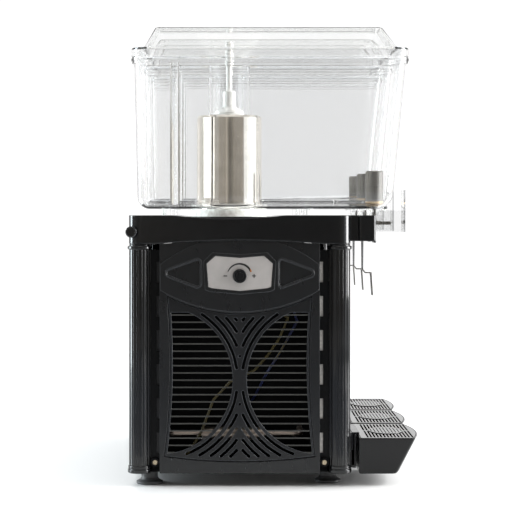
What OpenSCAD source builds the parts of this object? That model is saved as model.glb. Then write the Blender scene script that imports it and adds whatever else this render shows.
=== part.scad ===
// Refrigerated drink dispenser with three lift-off tanks, lever taps and drip trays.
// Front is -Y, width runs along X, the feet stand on Z = 0. All sizes in mm.

/* [Cabinet] */
// Depth over the corner columns
body_d = 335; // [331:1:341]
// Height of the rubber feet
foot_h = 20; // [17:1:24]
// Height of the deck top above the floor
deck_z = 408; // [404:1:414]
// Height of the deck skirt at its corners
deck_h = 43; // [42:1:45]
// Depth of the tap beam in front of the deck
beam_d = 38.5; // [36:0.5:42]

/* [Corner columns] */
// Diameter of a column over its ribs
col_d = 32; // [30:0.5:32.5]
// Number of flutes round a column
flutes = 18; // [12:1:20]
// Diameter of one flute
flute_d = 3.4; // [2.4:0.1:3.8]
// Diameter of the collars
collar_d = 37; // [35:0.5:37.5]

/* [Side grille] */
// Width of the slotted strip beside a side panel
strip_w = 14.1; // [13.5:0.1:15]
// Half width of the hourglass at its neck
neck_half = 10.5; // [9.5:0.5:12]
// Distance of the first slot from the edge of a field
slot_in_from = 7; // [6.5:0.5:8]
// Pitch from slot to slot
slot_pitch = 9.8; // [9:0.1:10.4]
// Width of a slot
slot_w = 4.6; // [3.6:0.1:5]
// Pitch of the cross bars
bar_pitch = 10.9; // [10.4:0.1:11.2]
// Height of a cross bar
bar_h = 1.9; // [1.5:0.1:2.6]

/* [Tanks] */
// Width of a tank wall to wall at the top
tank_w = 160; // [154:1:166]
// Gap between the rims of two tanks
tank_gap = 10; // [9:0.5:12]
// Height of a tank from its floor to its rim
tank_h = 230; // [222:1:240]
// Wall thickness of a tank
tank_t = 3; // [2.6:0.1:3.4]
// Rise of the lid above its skirt
lid_rise = 35; // [30:1:38]
// Diameter of the evaporator cylinder
evap_d = 101; // [92:1:102]
// Height of the evaporator top above the tank floor
evap_h = 144.4; // [138:0.2:147]

/* [Taps] */
// Diameter of the tap piston
piston_d = 28; // [26:0.5:30]
// Height of the tap piston
piston_h = 49; // [44:1:54]
// Width of the lever strip
lever_w = 32; // [31:0.5:33]
// Thickness of the lever strip
lever_t = 1.8; // [1.6:0.1:2.2]
// Length of the lever below its arm
lever_len = 112; // [104:1:118]

/* [Drip trays] */
// Gap between two drip trays
tray_gap = 10; // [8:0.5:14]
// Depth of a drip tray
tray_d = 95; // [92:1:100]
// Height of a drip tray
tray_h = 55; // [50:1:58]
// Pitch of the grid slots
grid_pitch = 5.2; // [5:0.1:6.4]
// Width of a slot in a grid
grid_slot = 2.9; // [2.4:0.1:3.2]

/* [Thermostat] */
// Diameter of the thermostat knob
knob_d = 21; // [18:0.5:23]
// Height of the thermostat knob
knob_h = 6; // [5:0.5:7]

/* [Hidden] */
$fn = 48;

black_c = [0.1, 0.1, 0.11];
steel_c = [0.78, 0.78, 0.79];
alu_c = [0.74, 0.71, 0.7];
clear_c = [0.86, 0.9, 0.92, 0.35];
white_c = [0.93, 0.93, 0.91];
tan_c = [0.72, 0.6, 0.45];
copper_c = [0.72, 0.42, 0.26];
dark_c = [0.16, 0.16, 0.17];

// clearance between pieces that move against each other
gap = 0.4;
eps = 1;
// the cabinet is as wide as its three tanks with their gaps
rim_out = 5;
tank_pitch = tank_w + 2 * rim_out + tank_gap;
tray_w = tank_pitch - tray_gap;
body_w = 3 * tank_pitch;
half_w = body_w / 2;
half_d = body_d / 2;
deck_bot = deck_z - deck_h;
collar_h = 8.5;
col_x = half_w - col_d / 2;
col_y = half_d - col_d / 2 - 0.5;

// layers of a side wall, measured outward from the middle of the cabinet
post_x = half_w - 20;
post_t = 2;
strip_x = post_x + post_t;
strip_t = 3;
panel_x = strip_x + strip_t + 6;
panel_t = 4;
eye_t = 3;
panel_edge = 3.5;
strip_y1 = col_y - col_d / 2 - gap;
panel_w = 2 * (strip_y1 - strip_w);
strip_y0 = panel_w / 2 - 5;
strip_z = foot_h + 12;
strip_h = deck_bot - foot_h - collar_h - 12.5;
slit_pitch = (strip_h - 14.5) / 6;
slit_h = slit_pitch * 0.6;
slit_w = 5;
slit_z = foot_h + 29;
screw_y = (panel_w / 2 + strip_y1) / 2;
screw_z = foot_h + 16;
boss_d = strip_y1 - panel_w / 2 - 1.6;
screw_d = 8.4;

// arch under the deck skirt
arch_half = panel_w / 2 + 4.5;
arch_rise = 5.5;
arch_r = (arch_half * arch_half + arch_rise * arch_rise) / (2 * arch_rise);
arch_z = deck_bot + arch_rise - arch_r;

// grille and eye moulding
grille_z = (foot_h + deck_bot) / 2 - 32.5;
field_y = panel_w / 2 + 1.5;
field_r = field_y - neck_half;
slot_r = field_r + slot_in_from;
field_z0 = foot_h + 28;
field_z1 = grille_z + 102;
eye_r = 238;
eye_z = deck_bot - 104 + eye_r;
brow_r = 190.4;
brow_z = deck_bot + 11 - brow_r;
sill_r = 800;
sill_z = foot_h + 16.5 + sill_r;
waist_r = 1116;
waist_y = panel_w / 2 - 15.2;
waist_z = grille_z + 25;
// shadow gap round the grille, its frame, and the flange that lies behind the panel
grille_gap = 2;
stile_w = 2.4;
flange_w = 2.2;
flange_t = 2;
// wall left at the end of a slot, and how much rounder than the slot its ends are
slot_land = 6.5;
slot_bulb = 0.4;
plate_z = deck_bot - 53;
knob_z = plate_z + 5;

// shallow hollow along the deck top at the evaporators
evap_y = 16;
scoop_half = 85;
scoop_deep = 5;
scoop_r = (scoop_half * scoop_half + scoop_deep * scoop_deep) / (2 * scoop_deep);
seat_z = deck_z - 2;
seat_d = evap_d + 24;
deck_t = 12;
skirt_t = 6;
deck_r = 18;
beam_y = -half_d - beam_d;
beam_x = half_w - 15;
// the beam's ends stand out from a narrower neck
beam_step = 6;
beam_neck = 12;
beam_z = deck_bot + 4;
notch_w = 60;
notch_y = -half_d - 10.5;
plug_d = 17;
plug_h = 6;
plug_stem = 5;
plug_in = 16;
plug_y = half_d - 4.5;
plug_z = deck_z - 25;

// tanks
tank_z = deck_z + 10;
tank_top = tank_z + tank_h;
tank_rear = half_d - 7.5;
tank_front = -half_d - 85;
rear_lean = 5;
front_lean = 18;
side_lean = 4;
r_rear = 18;
r_front = 26;
r_top = 24;
rim_h = 10;
lid_z = tank_top + gap;
skirt_h = 13.5;
lid_t = 3;
roof_z = lid_z + skirt_h;
evap_top = tank_z + evap_h;
evap_t = 1.5;
tap_y = -half_d - 42.5;
sump_d = piston_d + 12;
sump_z = tank_z - 2;
bore_d = 18;
floor_z = tank_z + tank_t;
seat_top = floor_z + 0.5;

// taps
seal_h = 6;
seal_z = seat_top + gap;
piston_z = seal_z + seal_h;
hood_w = 41;
hood_t = 2.5;
hood_y0 = tap_y + 14;
hood_y1 = tap_y - 46;
hood_z = tank_z - 36;
fin_z = tank_z + 29;
tube_z = tank_z - 10;
pivot_y = tap_y - 20;
pivot_z = tank_z - 22;
pin_d = 4;
arm_h = 5;
stem_d = 6;
stem_z = pivot_z + pin_d / 2 + gap;
leg_y = tap_y + 20;
step_z = pivot_z - lever_len + 34;
toe_z = pivot_z - lever_len;
toe_w = lever_w / 2;
toe_lean = 2.3;
lever_top = pivot_z + arm_h / 2;
step_y = 13;

// drip trays
tray_back = -half_d - 12.5;
tray_z = foot_h - 2;
tray_top = tray_z + tray_h;
tray_front = tray_back - tray_d;
tray_t = 2.6;
tray_lean = 28;
grid_t = 3;
rail_y0 = -half_d - 9.5;
rail_y1 = -half_d - 0.5;
rail_top = tray_top + 4;
rail_x = col_x - collar_d / 2 - 0.6;
hook_w = 96;
rail_wall = 2.5;
hook_t = 2.4;

front_reach = -tray_back + tray_d;
rear_reach = plug_y + plug_d / 2;
frame_y = (front_reach - rear_reach) / 2;

pan_x = post_x;
pan_y = half_d - 19;
pan_t = 2;
pan_lip = 16;
stud_d = 8;
neck_d = 25;
foot_d = 40;
foot_rear = [half_w - 38, half_d - 30.5];
foot_front = [half_w - 54, -half_d + 32.5];
foot_spots = [foot_rear, [-foot_rear[0], foot_rear[1]], foot_front, [-foot_front[0], foot_front[1]]];
front_y = -half_d + 4.5;
wall_t = 3;
wall_x = col_x - col_d / 2 - gap;
// columns of air slots in the rear panel; the last stands over the gland
rear_pitch = wall_x / 2.8;
rear_slot = rear_pitch - 19;
gland_x = 2 * rear_pitch;
gland_z = foot_h + 40;

comp_x = half_w - 142;
comp_y = -28;
comp_d = 138;
comp_h = 172;
cond_y = half_d - 55.5;
cond_w = 250;
cond_x = -cond_w / 2 - 40;
cond_h = 210;
cond_t = 34;
fan_x = -30;
fan_z = foot_h + 130;
fan_d = 176;
fan_y = cond_y - 20;

function tank_x(k) = (k - 2) * tank_pitch;
// angle at a field centre where its circle of radius r meets a circle of radius s,
// which is centred dz above it on the middle line
function meet(r, dz, s) = let (l = norm([field_y, dz]))
  atan2(dz, field_y) - acos(max(-1, min(1, (r * r + l * l - s * s) / (2 * r * l))));

module set_back() {
  translate([0, frame_y, 0]) children();
}

// stands a drawing of (y, z) up as a plate at x
module side_plate(x, t) {
  translate([x, 0, 0]) rotate([90, 0, 90]) linear_extrude(t) children();
}

module rrect(x0, x1, y0, y1, r) {
  translate([x0 + r, y0]) square([x1 - x0 - 2 * r, y1 - y0]);
  translate([x0, y0 + r]) square([x1 - x0, y1 - y0 - 2 * r]);
  for (x = [x0 + r, x1 - r]) {
    for (y = [y0 + r, y1 - r]) {
      translate([x, y]) circle(r);
    }
  }
}

module foot() {
  rotate_extrude() polygon([[0, 0], [foot_d / 2 - 1, 0], [foot_d / 2, 1.5], [foot_d / 2, 4],
    [neck_d / 2 + 2, 7], [neck_d / 2, 10], [neck_d / 2, foot_h], [stud_d / 2, foot_h],
    [stud_d / 2, foot_h + 10], [0, foot_h + 10]]);
}

module feet() {
  color(dark_c) set_back() for (p = foot_spots) {
    translate([p[0], p[1], 0]) foot();
  }
}

// the pan's corners are scooped out round the column collars
module pan_outline(inset) {
  difference() {
    square([2 * (pan_x - inset), 2 * (pan_y - inset)], center = true);
    column_spots() circle(d = collar_d + 1.6 + 2 * inset);
  }
}

module base_pan() {
  color(dark_c) set_back() difference() {
    translate([0, 0, foot_h]) linear_extrude(pan_lip) pan_outline(0);
    translate([0, 0, foot_h + pan_t]) linear_extrude(pan_lip) pan_outline(pan_t);
    for (p = foot_spots) {
      translate([p[0], p[1], foot_h - eps]) cylinder(d = stud_d + 2 * gap, h = pan_t + 2 * eps);
    }
  }
}

module column_spots() {
  for (x = [-col_x, col_x]) {
    for (y = [-col_y, col_y]) {
      translate([x, y, 0]) children();
    }
  }
}

module corner_columns() {
  color(black_c) set_back() column_spots() {
    translate([0, 0, foot_h + 11.5]) linear_extrude(deck_bot - foot_h - 11.5 - collar_h) difference() {
      circle(d = col_d);
      for (i = [0 : flutes - 1]) {
        rotate(i * 360 / flutes) translate([col_d / 2 + 0.5, 0]) circle(d = flute_d, $fn = 24);
      }
    }
  }
}

module collar_ring(z, h, d) {
  translate([0, 0, z]) rotate_extrude() polygon([[0, 0], [d / 2 - 1.2, 0], [d / 2, 1.2], [d / 2, h - 1.2],
    [d / 2 - 1.2, h], [0, h]]);
}

module column_collars() {
  color(black_c) set_back() column_spots() {
    union() {
      collar_ring(foot_h, 6.5, collar_d - 1);
      collar_ring(foot_h + 6, 5.5, collar_d - 2.5);
    }
    union() {
      collar_ring(deck_bot - collar_h, 5.5, collar_d);
      collar_ring(deck_bot - collar_h + 5, collar_h - 5, collar_d - 5);
    }
  }
}

module both_sides() {
  for (s = [0, 1]) {
    mirror([s, 0, 0]) children();
  }
}

module all_corners() {
  for (t = [0, 1]) {
    both_sides() mirror([0, t, 0]) children();
  }
}

module slot_strips() {
  color(black_c) set_back() all_corners() difference() {
    union() {
      side_plate(strip_x, strip_t) translate([strip_y0, strip_z]) square([strip_y1 - strip_y0, strip_h]);
      translate([strip_x, screw_y, screw_z]) rotate([0, 90, 0]) cylinder(d = boss_d, h = strip_t + 9);
    }
    side_plate(strip_x - eps, strip_t + 2 * eps) for (i = [0 : 5]) {
      translate([panel_w / 2 + 0.4, slit_z + i * slit_pitch]) square([slit_w, slit_h]);
    }
    translate([strip_x + strip_t + 6, screw_y, screw_z]) rotate([0, 90, 0])
      cylinder(d = screw_d + 0.8, h = 9);
    translate([strip_x - eps, screw_y, screw_z]) rotate([0, 90, 0]) cylinder(d = 4.8, h = 15);
  }
}

module chassis_posts() {
  color(steel_c) set_back() all_corners() difference() {
    union() {
      side_plate(post_x, post_t) translate([strip_y0 + 1, strip_z])
        square([strip_y1 - strip_y0 - 1, strip_h]);
      translate([post_x - 14, strip_y1 - post_t, foot_h + pan_lip + 1])
        cube([14 + post_t, post_t, strip_z + strip_h - foot_h - pan_lip - 1]);
    }
    translate([post_x - eps, screw_y, screw_z]) rotate([0, 90, 0]) cylinder(d = 4.8, h = post_t + 2 * eps);
  }
}

module panel_screws() {
  color(steel_c) set_back() all_corners() {
    translate([strip_x + strip_t + 6, screw_y, screw_z]) rotate([0, 90, 0]) difference() {
      union() {
        cylinder(d = screw_d, h = 2);
        translate([0, 0, 2]) cylinder(d1 = screw_d, d2 = screw_d - 3, h = 1.2);
        translate([0, 0, -10.5]) cylinder(d = 4, h = 11);
      }
      translate([0, 0, 3]) cube([4.6, 1, 2], center = true);
      translate([0, 0, 3]) cube([1, 4.6, 2], center = true);
    }
  }
}

// outline of a side panel, its top following the arch of the deck
module panel_outline() {
  intersection() {
    translate([-panel_w / 2, foot_h]) square([panel_w, deck_h + deck_bot]);
    translate([0, arch_z]) circle(arch_r - gap, $fn = 96);
  }
}

// opening of the panel between eye, sill and the curved stiles, widened by grow
module grille_window(grow) {
  difference() {
    intersection() {
      translate([0, sill_z]) circle(sill_r + grow, $fn = 96);
      translate([-panel_w / 2 + 1, foot_h + 2]) square([panel_w - 2, grille_z + 140 - foot_h]);
    }
    translate([0, eye_z]) circle(eye_r - grow, $fn = 96);
    for (s = [-1, 1]) {
      translate([s * (waist_y + waist_r), waist_z]) circle(waist_r - grow, $fn = 96);
    }
  }
}

// the two round fields either side of the hourglass
module grille_fields(grow) {
  for (s = [-1, 1]) {
    intersection() {
      grille_window(grow - grille_gap - stile_w);
      translate([s * field_y, grille_z]) circle(field_r + grow, $fn = 96);
      translate([-panel_w / 2, field_z0 - grow]) square([panel_w, field_z1 - field_z0 + 2 * grow]);
    }
  }
}

module slot_arc(r, a0, a1) {
  intersection() {
    difference() {
      circle(r + slot_w / 2, $fn = 96);
      circle(r - slot_w / 2, $fn = 96);
    }
    polygon([[0, 0], [300 * cos(a0), 300 * sin(a0)], [300 * cos((a0 + a1) / 2), 300 * sin((a0 + a1) / 2)],
      [300 * cos(a1), 300 * sin(a1)]]);
  }
  for (a = [a0, a1]) {
    translate([r * cos(a), r * sin(a)]) circle(d = slot_w + slot_bulb, $fn = 24);
  }
}

// lower end of a slot near the middle line, as an angle at the field centre
function slot_in(r) = max(6, acos(min(1, (field_y - slot_w / 2 - 2.6) / r)));
function slot_up(r) = meet(r, eye_z - grille_z, eye_r + slot_w / 2 + slot_land);
function slot_down(r) = meet(r, sill_z - grille_z, sill_r - slot_w / 2 - slot_land);

module grille_slots() {
  for (s = [0, 1]) {
    mirror([s, 0]) translate([field_y, grille_z]) mirror([1, 0]) {
      for (i = [0 : 3]) {
        r = slot_r + i * slot_pitch;
        slot_arc(r, slot_in(r), slot_up(r));
      }
      for (i = [0 : 4]) {
        r = slot_r + i * slot_pitch;
        slot_arc(r, slot_down(r), -slot_in(r));
      }
    }
  }
  for (dz = [-36, 36]) {
    translate([0, grille_z + dz]) circle(d = 4.5, $fn = 24);
  }
}

// rounded triangular hollow beside the plate
module eye_pocket(grow) {
  hull() {
    translate([panel_w / 2 - 15.5, plate_z + 9.5]) circle(4 + grow, $fn = 32);
    translate([64, plate_z + 24.5]) circle(4 + grow, $fn = 32);
    translate([64, plate_z - 6]) circle(4 + grow, $fn = 32);
  }
}

module plate_outline(grow) {
  w = 49.5 + grow;
  polygon([[-w + 13, plate_z + 35 + grow], [0, plate_z + 32 + grow], [w - 13, plate_z + 35 + grow],
    [w, plate_z + 23.5 + grow * 0.6], [w - 2.5, plate_z - 11.5 - grow * 0.8], [w - 9, plate_z - 13.5 - grow],
    [0, plate_z - 17.5 - grow], [-w + 9, plate_z - 13.5 - grow], [-w + 2.5, plate_z - 11.5 - grow * 0.8],
    [-w, plate_z + 23.5 + grow * 0.6]]);
}

module eye_outline(inset) {
  intersection() {
    translate([0, eye_z]) circle(eye_r - 2 - inset, $fn = 96);
    translate([0, brow_z]) circle(brow_r - inset, $fn = 96);
    translate([-panel_w / 2 + 1, foot_h]) square([panel_w - 2, deck_h + deck_bot]);
    translate([0, arch_z]) circle(arch_r - gap, $fn = 96);
  }
}

module side_panel(plated) {
  difference() {
    union() {
      side_plate(panel_x, panel_t) difference() {
        panel_outline();
        grille_window(0);
      }
      // edge returns that stand on the slotted strips
      for (s = [0, 1]) {
        mirror([0, s, 0]) translate([strip_x + strip_t, panel_w / 2 - panel_edge, foot_h])
          cube([panel_x - strip_x - strip_t + 1, panel_edge, deck_bot - foot_h]);
      }
      side_plate(panel_x + panel_t - 0.5, eye_t + 0.5) difference() {
        eye_outline(0);
        for (s = [0, 1]) {
          mirror([s, 0]) eye_pocket(0);
        }
      }
      // bead round each hollow
      side_plate(panel_x + panel_t + eye_t - 0.5, 1.3) for (s = [0, 1]) {
        mirror([s, 0]) difference() {
          eye_pocket(3.4);
          eye_pocket(1.6);
        }
      }
      side_plate(panel_x + panel_t + eye_t - 0.5, 1.7) intersection() {
        plate_outline(5);
        panel_outline();
      }
    }
    if (plated) {
      side_plate(panel_x + panel_t + eye_t - 0.8, 5) plate_outline(gap);
      translate([panel_x - eps, 0, knob_z]) rotate([0, 90, 0]) cylinder(d = 9, h = 20);
    } else {
      side_plate(panel_x + panel_t + eye_t + 0.2, 5) plate_outline(gap);
    }
  }
}

module left_side_panel() {
  color(black_c) set_back() mirror([1, 0, 0]) side_panel(true);
}

module right_side_panel() {
  color(black_c) set_back() side_panel(false);
}

// moulded grille set into a side panel from behind, with cross bars over its fields
module side_grilles() {
  color(black_c) set_back() both_sides() union() {
    side_plate(panel_x - flange_t, flange_t) difference() {
      grille_window(flange_w);
      grille_window(-grille_gap - 1);
    }
    side_plate(panel_x - flange_t, flange_t + panel_t - 0.8) difference() {
      grille_window(-grille_gap);
      grille_fields(0);
      grille_slots();
    }
    side_plate(panel_x + 0.6, 2) intersection() {
      grille_fields(1.2);
      for (i = [-10 : 9]) {
        translate([-panel_w / 2, grille_z + i * bar_pitch - bar_h / 2]) square([panel_w, bar_h]);
      }
    }
  }
}

plate_x = panel_x + panel_t + eye_t - 0.8;
plate_t = 1.4;

module control_plate() {
  color(alu_c) set_back() mirror([1, 0, 0]) side_plate(plate_x, plate_t) difference() {
    plate_outline(0);
    translate([0, knob_z]) circle(d = 9);
  }
}

// dial marks printed on the plate: a swelling arc, a minus and a plus
module dial_marks() {
  color(dark_c) set_back() mirror([1, 0, 0]) side_plate(plate_x + plate_t, 0.3) {
    translate([0, knob_z]) intersection() {
      difference() {
        circle(19.4);
        translate([0.9, -0.6]) circle(17.6);
      }
      polygon([[0, 0], [34, 12], [34, 34], [-34, 34], [-34, 12]]);
    }
    translate([21.5, knob_z]) square([5.6, 1.5], center = true);
    translate([-21.5, knob_z]) square([5.6, 1.5], center = true);
    translate([-21.5, knob_z]) square([1.5, 5.6], center = true);
  }
}

module thermostat_knob() {
  color(black_c) set_back() mirror([1, 0, 0]) translate([plate_x + plate_t + gap, 0, knob_z])
    rotate([0, 90, 0]) {
    difference() {
      union() {
        cylinder(d = knob_d, h = knob_h - 1);
        translate([0, 0, knob_h - 1]) cylinder(d1 = knob_d, d2 = knob_d - 2, h = 1);
      }
      translate([0, 0, knob_h - 1.6]) difference() {
        cylinder(d = knob_d - 5, h = 3);
        translate([0, 0, -eps]) cylinder(d = knob_d - 9, h = 5);
      }
      translate([-knob_d / 2 + 1.6, 0, knob_h]) cube([5, 1.4, 2], center = true);
    }
    translate([0, 0, -28]) cylinder(d = 6, h = 28.5);
  }
}

module thermostat_body() {
  color(dark_c) set_back() mirror([1, 0, 0]) difference() {
    union() {
      translate([panel_x - 32, -22, knob_z - 16]) cube([26, 44, 32]);
      translate([panel_x - 7, 0, knob_z]) rotate([0, 90, 0]) cylinder(d = 14, h = 7);
    }
    translate([panel_x - 25, 0, knob_z]) rotate([0, 90, 0]) cylinder(d = 6 + 2 * gap, h = 40);
  }
}

module front_panel() {
  color(black_c) set_back() difference() {
    union() {
      translate([-wall_x, front_y, foot_h]) cube([2 * wall_x, wall_t, deck_bot - foot_h]);
      translate([-wall_x + 8, front_y - 1.5, foot_h + 70]) cube([2 * wall_x - 16, 2, deck_bot - foot_h - 84]);
    }
    for (k = [1 : 3]) {
      translate([tank_x(k), front_y + 0.2, foot_h + 190]) rotate([90, 0, 0]) linear_extrude(4)
        rrect(-tank_w / 2 + 10, tank_w / 2 - 10, -100, deck_bot - foot_h - 220, 14);
    }
  }
}

module rear_panel() {
  color(black_c) set_back() difference() {
    translate([-wall_x, -front_y - wall_t, foot_h]) cube([2 * wall_x, wall_t, deck_bot - foot_h]);
    for (c = [-2 : 2]) {
      first = c == 2 ? 4 : 0;
      for (i = [first : floor((deck_bot - foot_h - 130) / 15) - 1]) {
        translate([c * rear_pitch - rear_slot / 2, -front_y - wall_t - eps, foot_h + 70 + i * 15])
          cube([rear_slot, wall_t + 2 * eps, 6]);
      }
    }
    translate([gland_x, -front_y + eps, gland_z]) rotate([90, 0, 0])
      cylinder(d = 16 + 2 * gap, h = wall_t + 2 * eps);
  }
}

module cable_gland() {
  color(dark_c) set_back() translate([gland_x, -front_y, gland_z]) rotate([-90, 0, 0]) difference() {
    union() {
      cylinder(d = 26, h = 3);
      cylinder(d = 18, h = rear_reach + front_y - gap);
      translate([0, 0, -wall_t - 6]) cylinder(d = 16, h = wall_t + 7);
      translate([0, 0, -wall_t - 5]) cylinder(d = 24, h = 5);
    }
    translate([0, 0, -20]) cylinder(d = 8, h = 40);
  }
}

// hollow bays of the tap beam between the tap notches
bay_x = beam_x - beam_step - 3;
beam_bays = [[-bay_x, -tank_pitch - 33], [-tank_pitch + 33, -33], [33, tank_pitch - 33],
  [tank_pitch + 33, bay_x]];

module deck() {
  color(black_c) set_back() difference() {
    union() {
      difference() {
        translate([0, 0, deck_bot]) linear_extrude(deck_h) rrect(-half_w, half_w, -half_d, half_d, deck_r);
        translate([0, 0, deck_bot - eps]) linear_extrude(deck_h - deck_t + eps)
          rrect(-half_w + skirt_t, half_w - skirt_t, -half_d + skirt_t, half_d - skirt_t, deck_r - skirt_t);
      }
      // seats of the corner collars and ribs that land on the panels
      column_spots() translate([0, 0, deck_bot]) cylinder(d = col_d - 4, h = deck_h - deck_t + 1);
      difference() {
        translate([0, 0, beam_z]) linear_extrude(deck_z - beam_z) {
          rrect(-beam_x, beam_x, beam_y, -half_d - beam_neck, 5);
          translate([-beam_x + beam_step, -half_d - beam_neck - 8])
            square([2 * (beam_x - beam_step), beam_neck + 38]);
        }
        translate([-half_w, -half_d + 0.5, beam_z - eps]) cube([body_w, 40, deck_h]);
        for (p = beam_bays) {
          translate([p[0], beam_y + 3, beam_z - eps]) cube([p[1] - p[0], beam_d - 6, deck_z - beam_z - 4]);
        }
      }
      translate([-beam_x + 12, beam_y - 1, beam_z - 2.5]) cube([2 * beam_x - 24, 4, 3.5]);
    }
    side_plate(-half_w - eps, body_w + 2 * eps) intersection() {
      translate([0, arch_z]) circle(arch_r, $fn = 96);
      translate([-arch_half - 8, deck_bot - eps]) square([2 * arch_half + 16, deck_h]);
    }
    difference() {
      side_plate(-half_w - eps, body_w + 2 * eps) translate([evap_y, deck_z - scoop_deep + scoop_r])
        circle(scoop_r, $fn = 96);
      for (k = [1 : 3]) {
        translate([tank_x(k), evap_y, deck_z - 20]) cylinder(d = seat_d, h = 20 + seat_z - deck_z);
      }
    }
    for (k = [1 : 3]) {
      translate([tank_x(k) - notch_w / 2, beam_y - 4, beam_z - 5])
        cube([notch_w, notch_y - beam_y + 4, deck_z - beam_z + 10]);
      translate([tank_x(k), evap_y, deck_bot]) cylinder(d = 34, h = deck_h + eps);
    }
    both_sides() translate([half_w - plug_in - gap, plug_y, plug_z]) rotate([0, 90, 0])
      cylinder(d = plug_stem + 2 * gap, h = plug_in + gap + eps);
  }
}

module deck_side_plugs() {
  color(black_c) set_back() both_sides() translate([half_w, plug_y, plug_z]) rotate([0, 90, 0]) union() {
    cylinder(d = plug_d, h = plug_h - 1.5);
    translate([0, 0, plug_h - 1.5]) cylinder(d1 = plug_d, d2 = plug_d - 4, h = 1.5);
    translate([0, 0, -plug_in]) cylinder(d = plug_stem, h = plug_in + 1);
  }
}

module tray_rail() {
  color(black_c) set_back() union() {
    translate([-rail_x, rail_y0, foot_h + 4]) cube([2 * rail_x, rail_wall, rail_top - foot_h - 4 - 3]);
    translate([-rail_x, rail_y1 - rail_wall, foot_h + 4])
      cube([2 * rail_x, rail_wall, rail_top - foot_h - 4]);
    translate([-rail_x, rail_y0, foot_h + 4]) cube([2 * rail_x, rail_y1 - rail_y0, 4]);
    for (x = [-rail_x + 35, -tank_pitch / 2, tank_pitch / 2, rail_x - 35]) {
      translate([x - 12, rail_y1 - 0.5, foot_h + 4]) cube([24, front_y - rail_y1 + 0.5, 40]);
    }
  }
}

module compressor() {
  color(dark_c) set_back() translate([comp_x, comp_y, foot_h + pan_t]) {
    translate([0, 0, 14]) rotate_extrude() polygon([[0, 0], [comp_d / 2 - 22, 0], [comp_d / 2 - 8, 6],
      [comp_d / 2, 22],
      [comp_d / 2, 74], [comp_d / 2 + 3, 76], [comp_d / 2 + 3, 80], [comp_d / 2, 82], [comp_d / 2, 128],
      [comp_d / 2 - 10, 148], [comp_d / 2 - 30, comp_h - 16], [0, comp_h - 14]]);
    translate([-75, -62, 12]) cube([150, 124, 3]);
    for (x = [-62, 62]) {
      for (y = [-50, 50]) {
        translate([x, y, 0]) cylinder(d = 20, h = 12.5);
      }
    }
    translate([-20, -comp_d / 2 - 14, 70]) cube([40, 20, 46]);
  }
}

module condenser() {
  color(alu_c) set_back() translate([cond_x, cond_y, foot_h + pan_t]) {
    for (x = [0, cond_w - 3]) {
      translate([x, 0, 0]) cube([3, cond_t, cond_h]);
    }
    for (i = [0 : 17]) {
      translate([11 + i * 13.4, 2, 8]) cube([1.2, cond_t - 4, cond_h - 16]);
    }
    for (i = [0 : 5]) {
      for (y = [10, 24]) {
        translate([0.5, y, 26 + i * 31]) rotate([0, 90, 0]) cylinder(d = 8, h = cond_w - 1);
      }
    }
  }
}

module fan_motor() {
  color(dark_c) set_back() {
    translate([fan_x, fan_y - 12, fan_z]) rotate([90, 0, 0]) cylinder(d = 58, h = 46);
    translate([fan_x, fan_y + 6, fan_z]) rotate([90, 0, 0]) cylinder(d = 6, h = 20);
    translate([fan_x - 6, fan_y - 50, foot_h + pan_t]) cube([12, 30, fan_z - foot_h - 20]);
    translate([fan_x - 30, fan_y - 56, foot_h + pan_t]) cube([60, 42, 3]);
  }
}

module fan() {
  color(alu_c) set_back() translate([fan_x, fan_y, fan_z]) rotate([90, 0, 0]) {
    difference() {
      translate([0, 0, -8]) cylinder(d = 44, h = 18);
      translate([0, 0, -8 - eps]) cylinder(d = 6 + 2 * gap, h = 30);
    }
    for (i = [0 : 4]) {
      rotate(i * 72) translate([14, 0, 0]) rotate([28, 0, 0]) translate([0, -22, -0.8])
        cube([fan_d / 2 - 16, 44, 1.6]);
    }
  }
}

// one straight run of tube along an axis
module tube(p, v, l, d) {
  translate(p) rotate(v) cylinder(d = d, h = l);
}

module elbow(p, v, d) {
  translate(p) rotate(v) rotate_extrude(angle = 90) translate([14, 0]) circle(d = d, $fn = 24);
}

pipe_z = deck_bot - 40;
pipe_y = cond_y - 20;
line_x = -half_w + 52;
line_y = cond_y - 12;
line_z = foot_h + 54;
line_front = -80;
lead_x = -half_w + 36;
lead_end = [0, -24, foot_h + 108];
module refrigerant_pipes() {
  color(copper_c) set_back() {
    // suction line along the evaporators
    union() {
      tube([tank_x(1), pipe_y, pipe_z], [0, 90, 0], 2 * tank_pitch, 9);
      for (k = [1 : 3]) {
        tube([tank_x(k), pipe_y, pipe_z - 4], [0, 0, 0], deck_z - deck_t - pipe_z + 4, 8);
      }
      tube([comp_x, pipe_y + 2, pipe_z], [90, 0, 0], pipe_y - comp_y + 8, 8);
      tube([comp_x, comp_y, foot_h + pan_t + comp_h + 0.1],
        [0, 0, 0], pipe_z - foot_h - pan_t - comp_h + 2, 8);
    }
    // liquid line low behind the left grille, with its drier; it goes up behind the baffle
    union() {
      tube([line_x, line_y, line_z], [90, 0, 0], line_y - line_front, 9);
      tube([line_x, 58, line_z], [90, 0, 0], 96, 20);
      elbow([line_x + 14, line_y, line_z], [0, 0, 90], 9);
      tube([line_x + 14, line_y + 14, line_z], [0, 90, 0], cond_x - line_x - 14, 9);
      elbow([line_x + 14, line_front, line_z], [0, 0, 180], 9);
      tube([line_x + 14, line_front - 14, line_z], [0, 90, 0], 50, 9);
      elbow([line_x + 64, line_front - 14, line_z + 14], [90, 90, 0], 9);
      tube([line_x + 78, line_front - 14, line_z + 14], [0, 0, 0], deck_z - deck_t - line_z - 14, 9);
    }
  }
}

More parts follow.
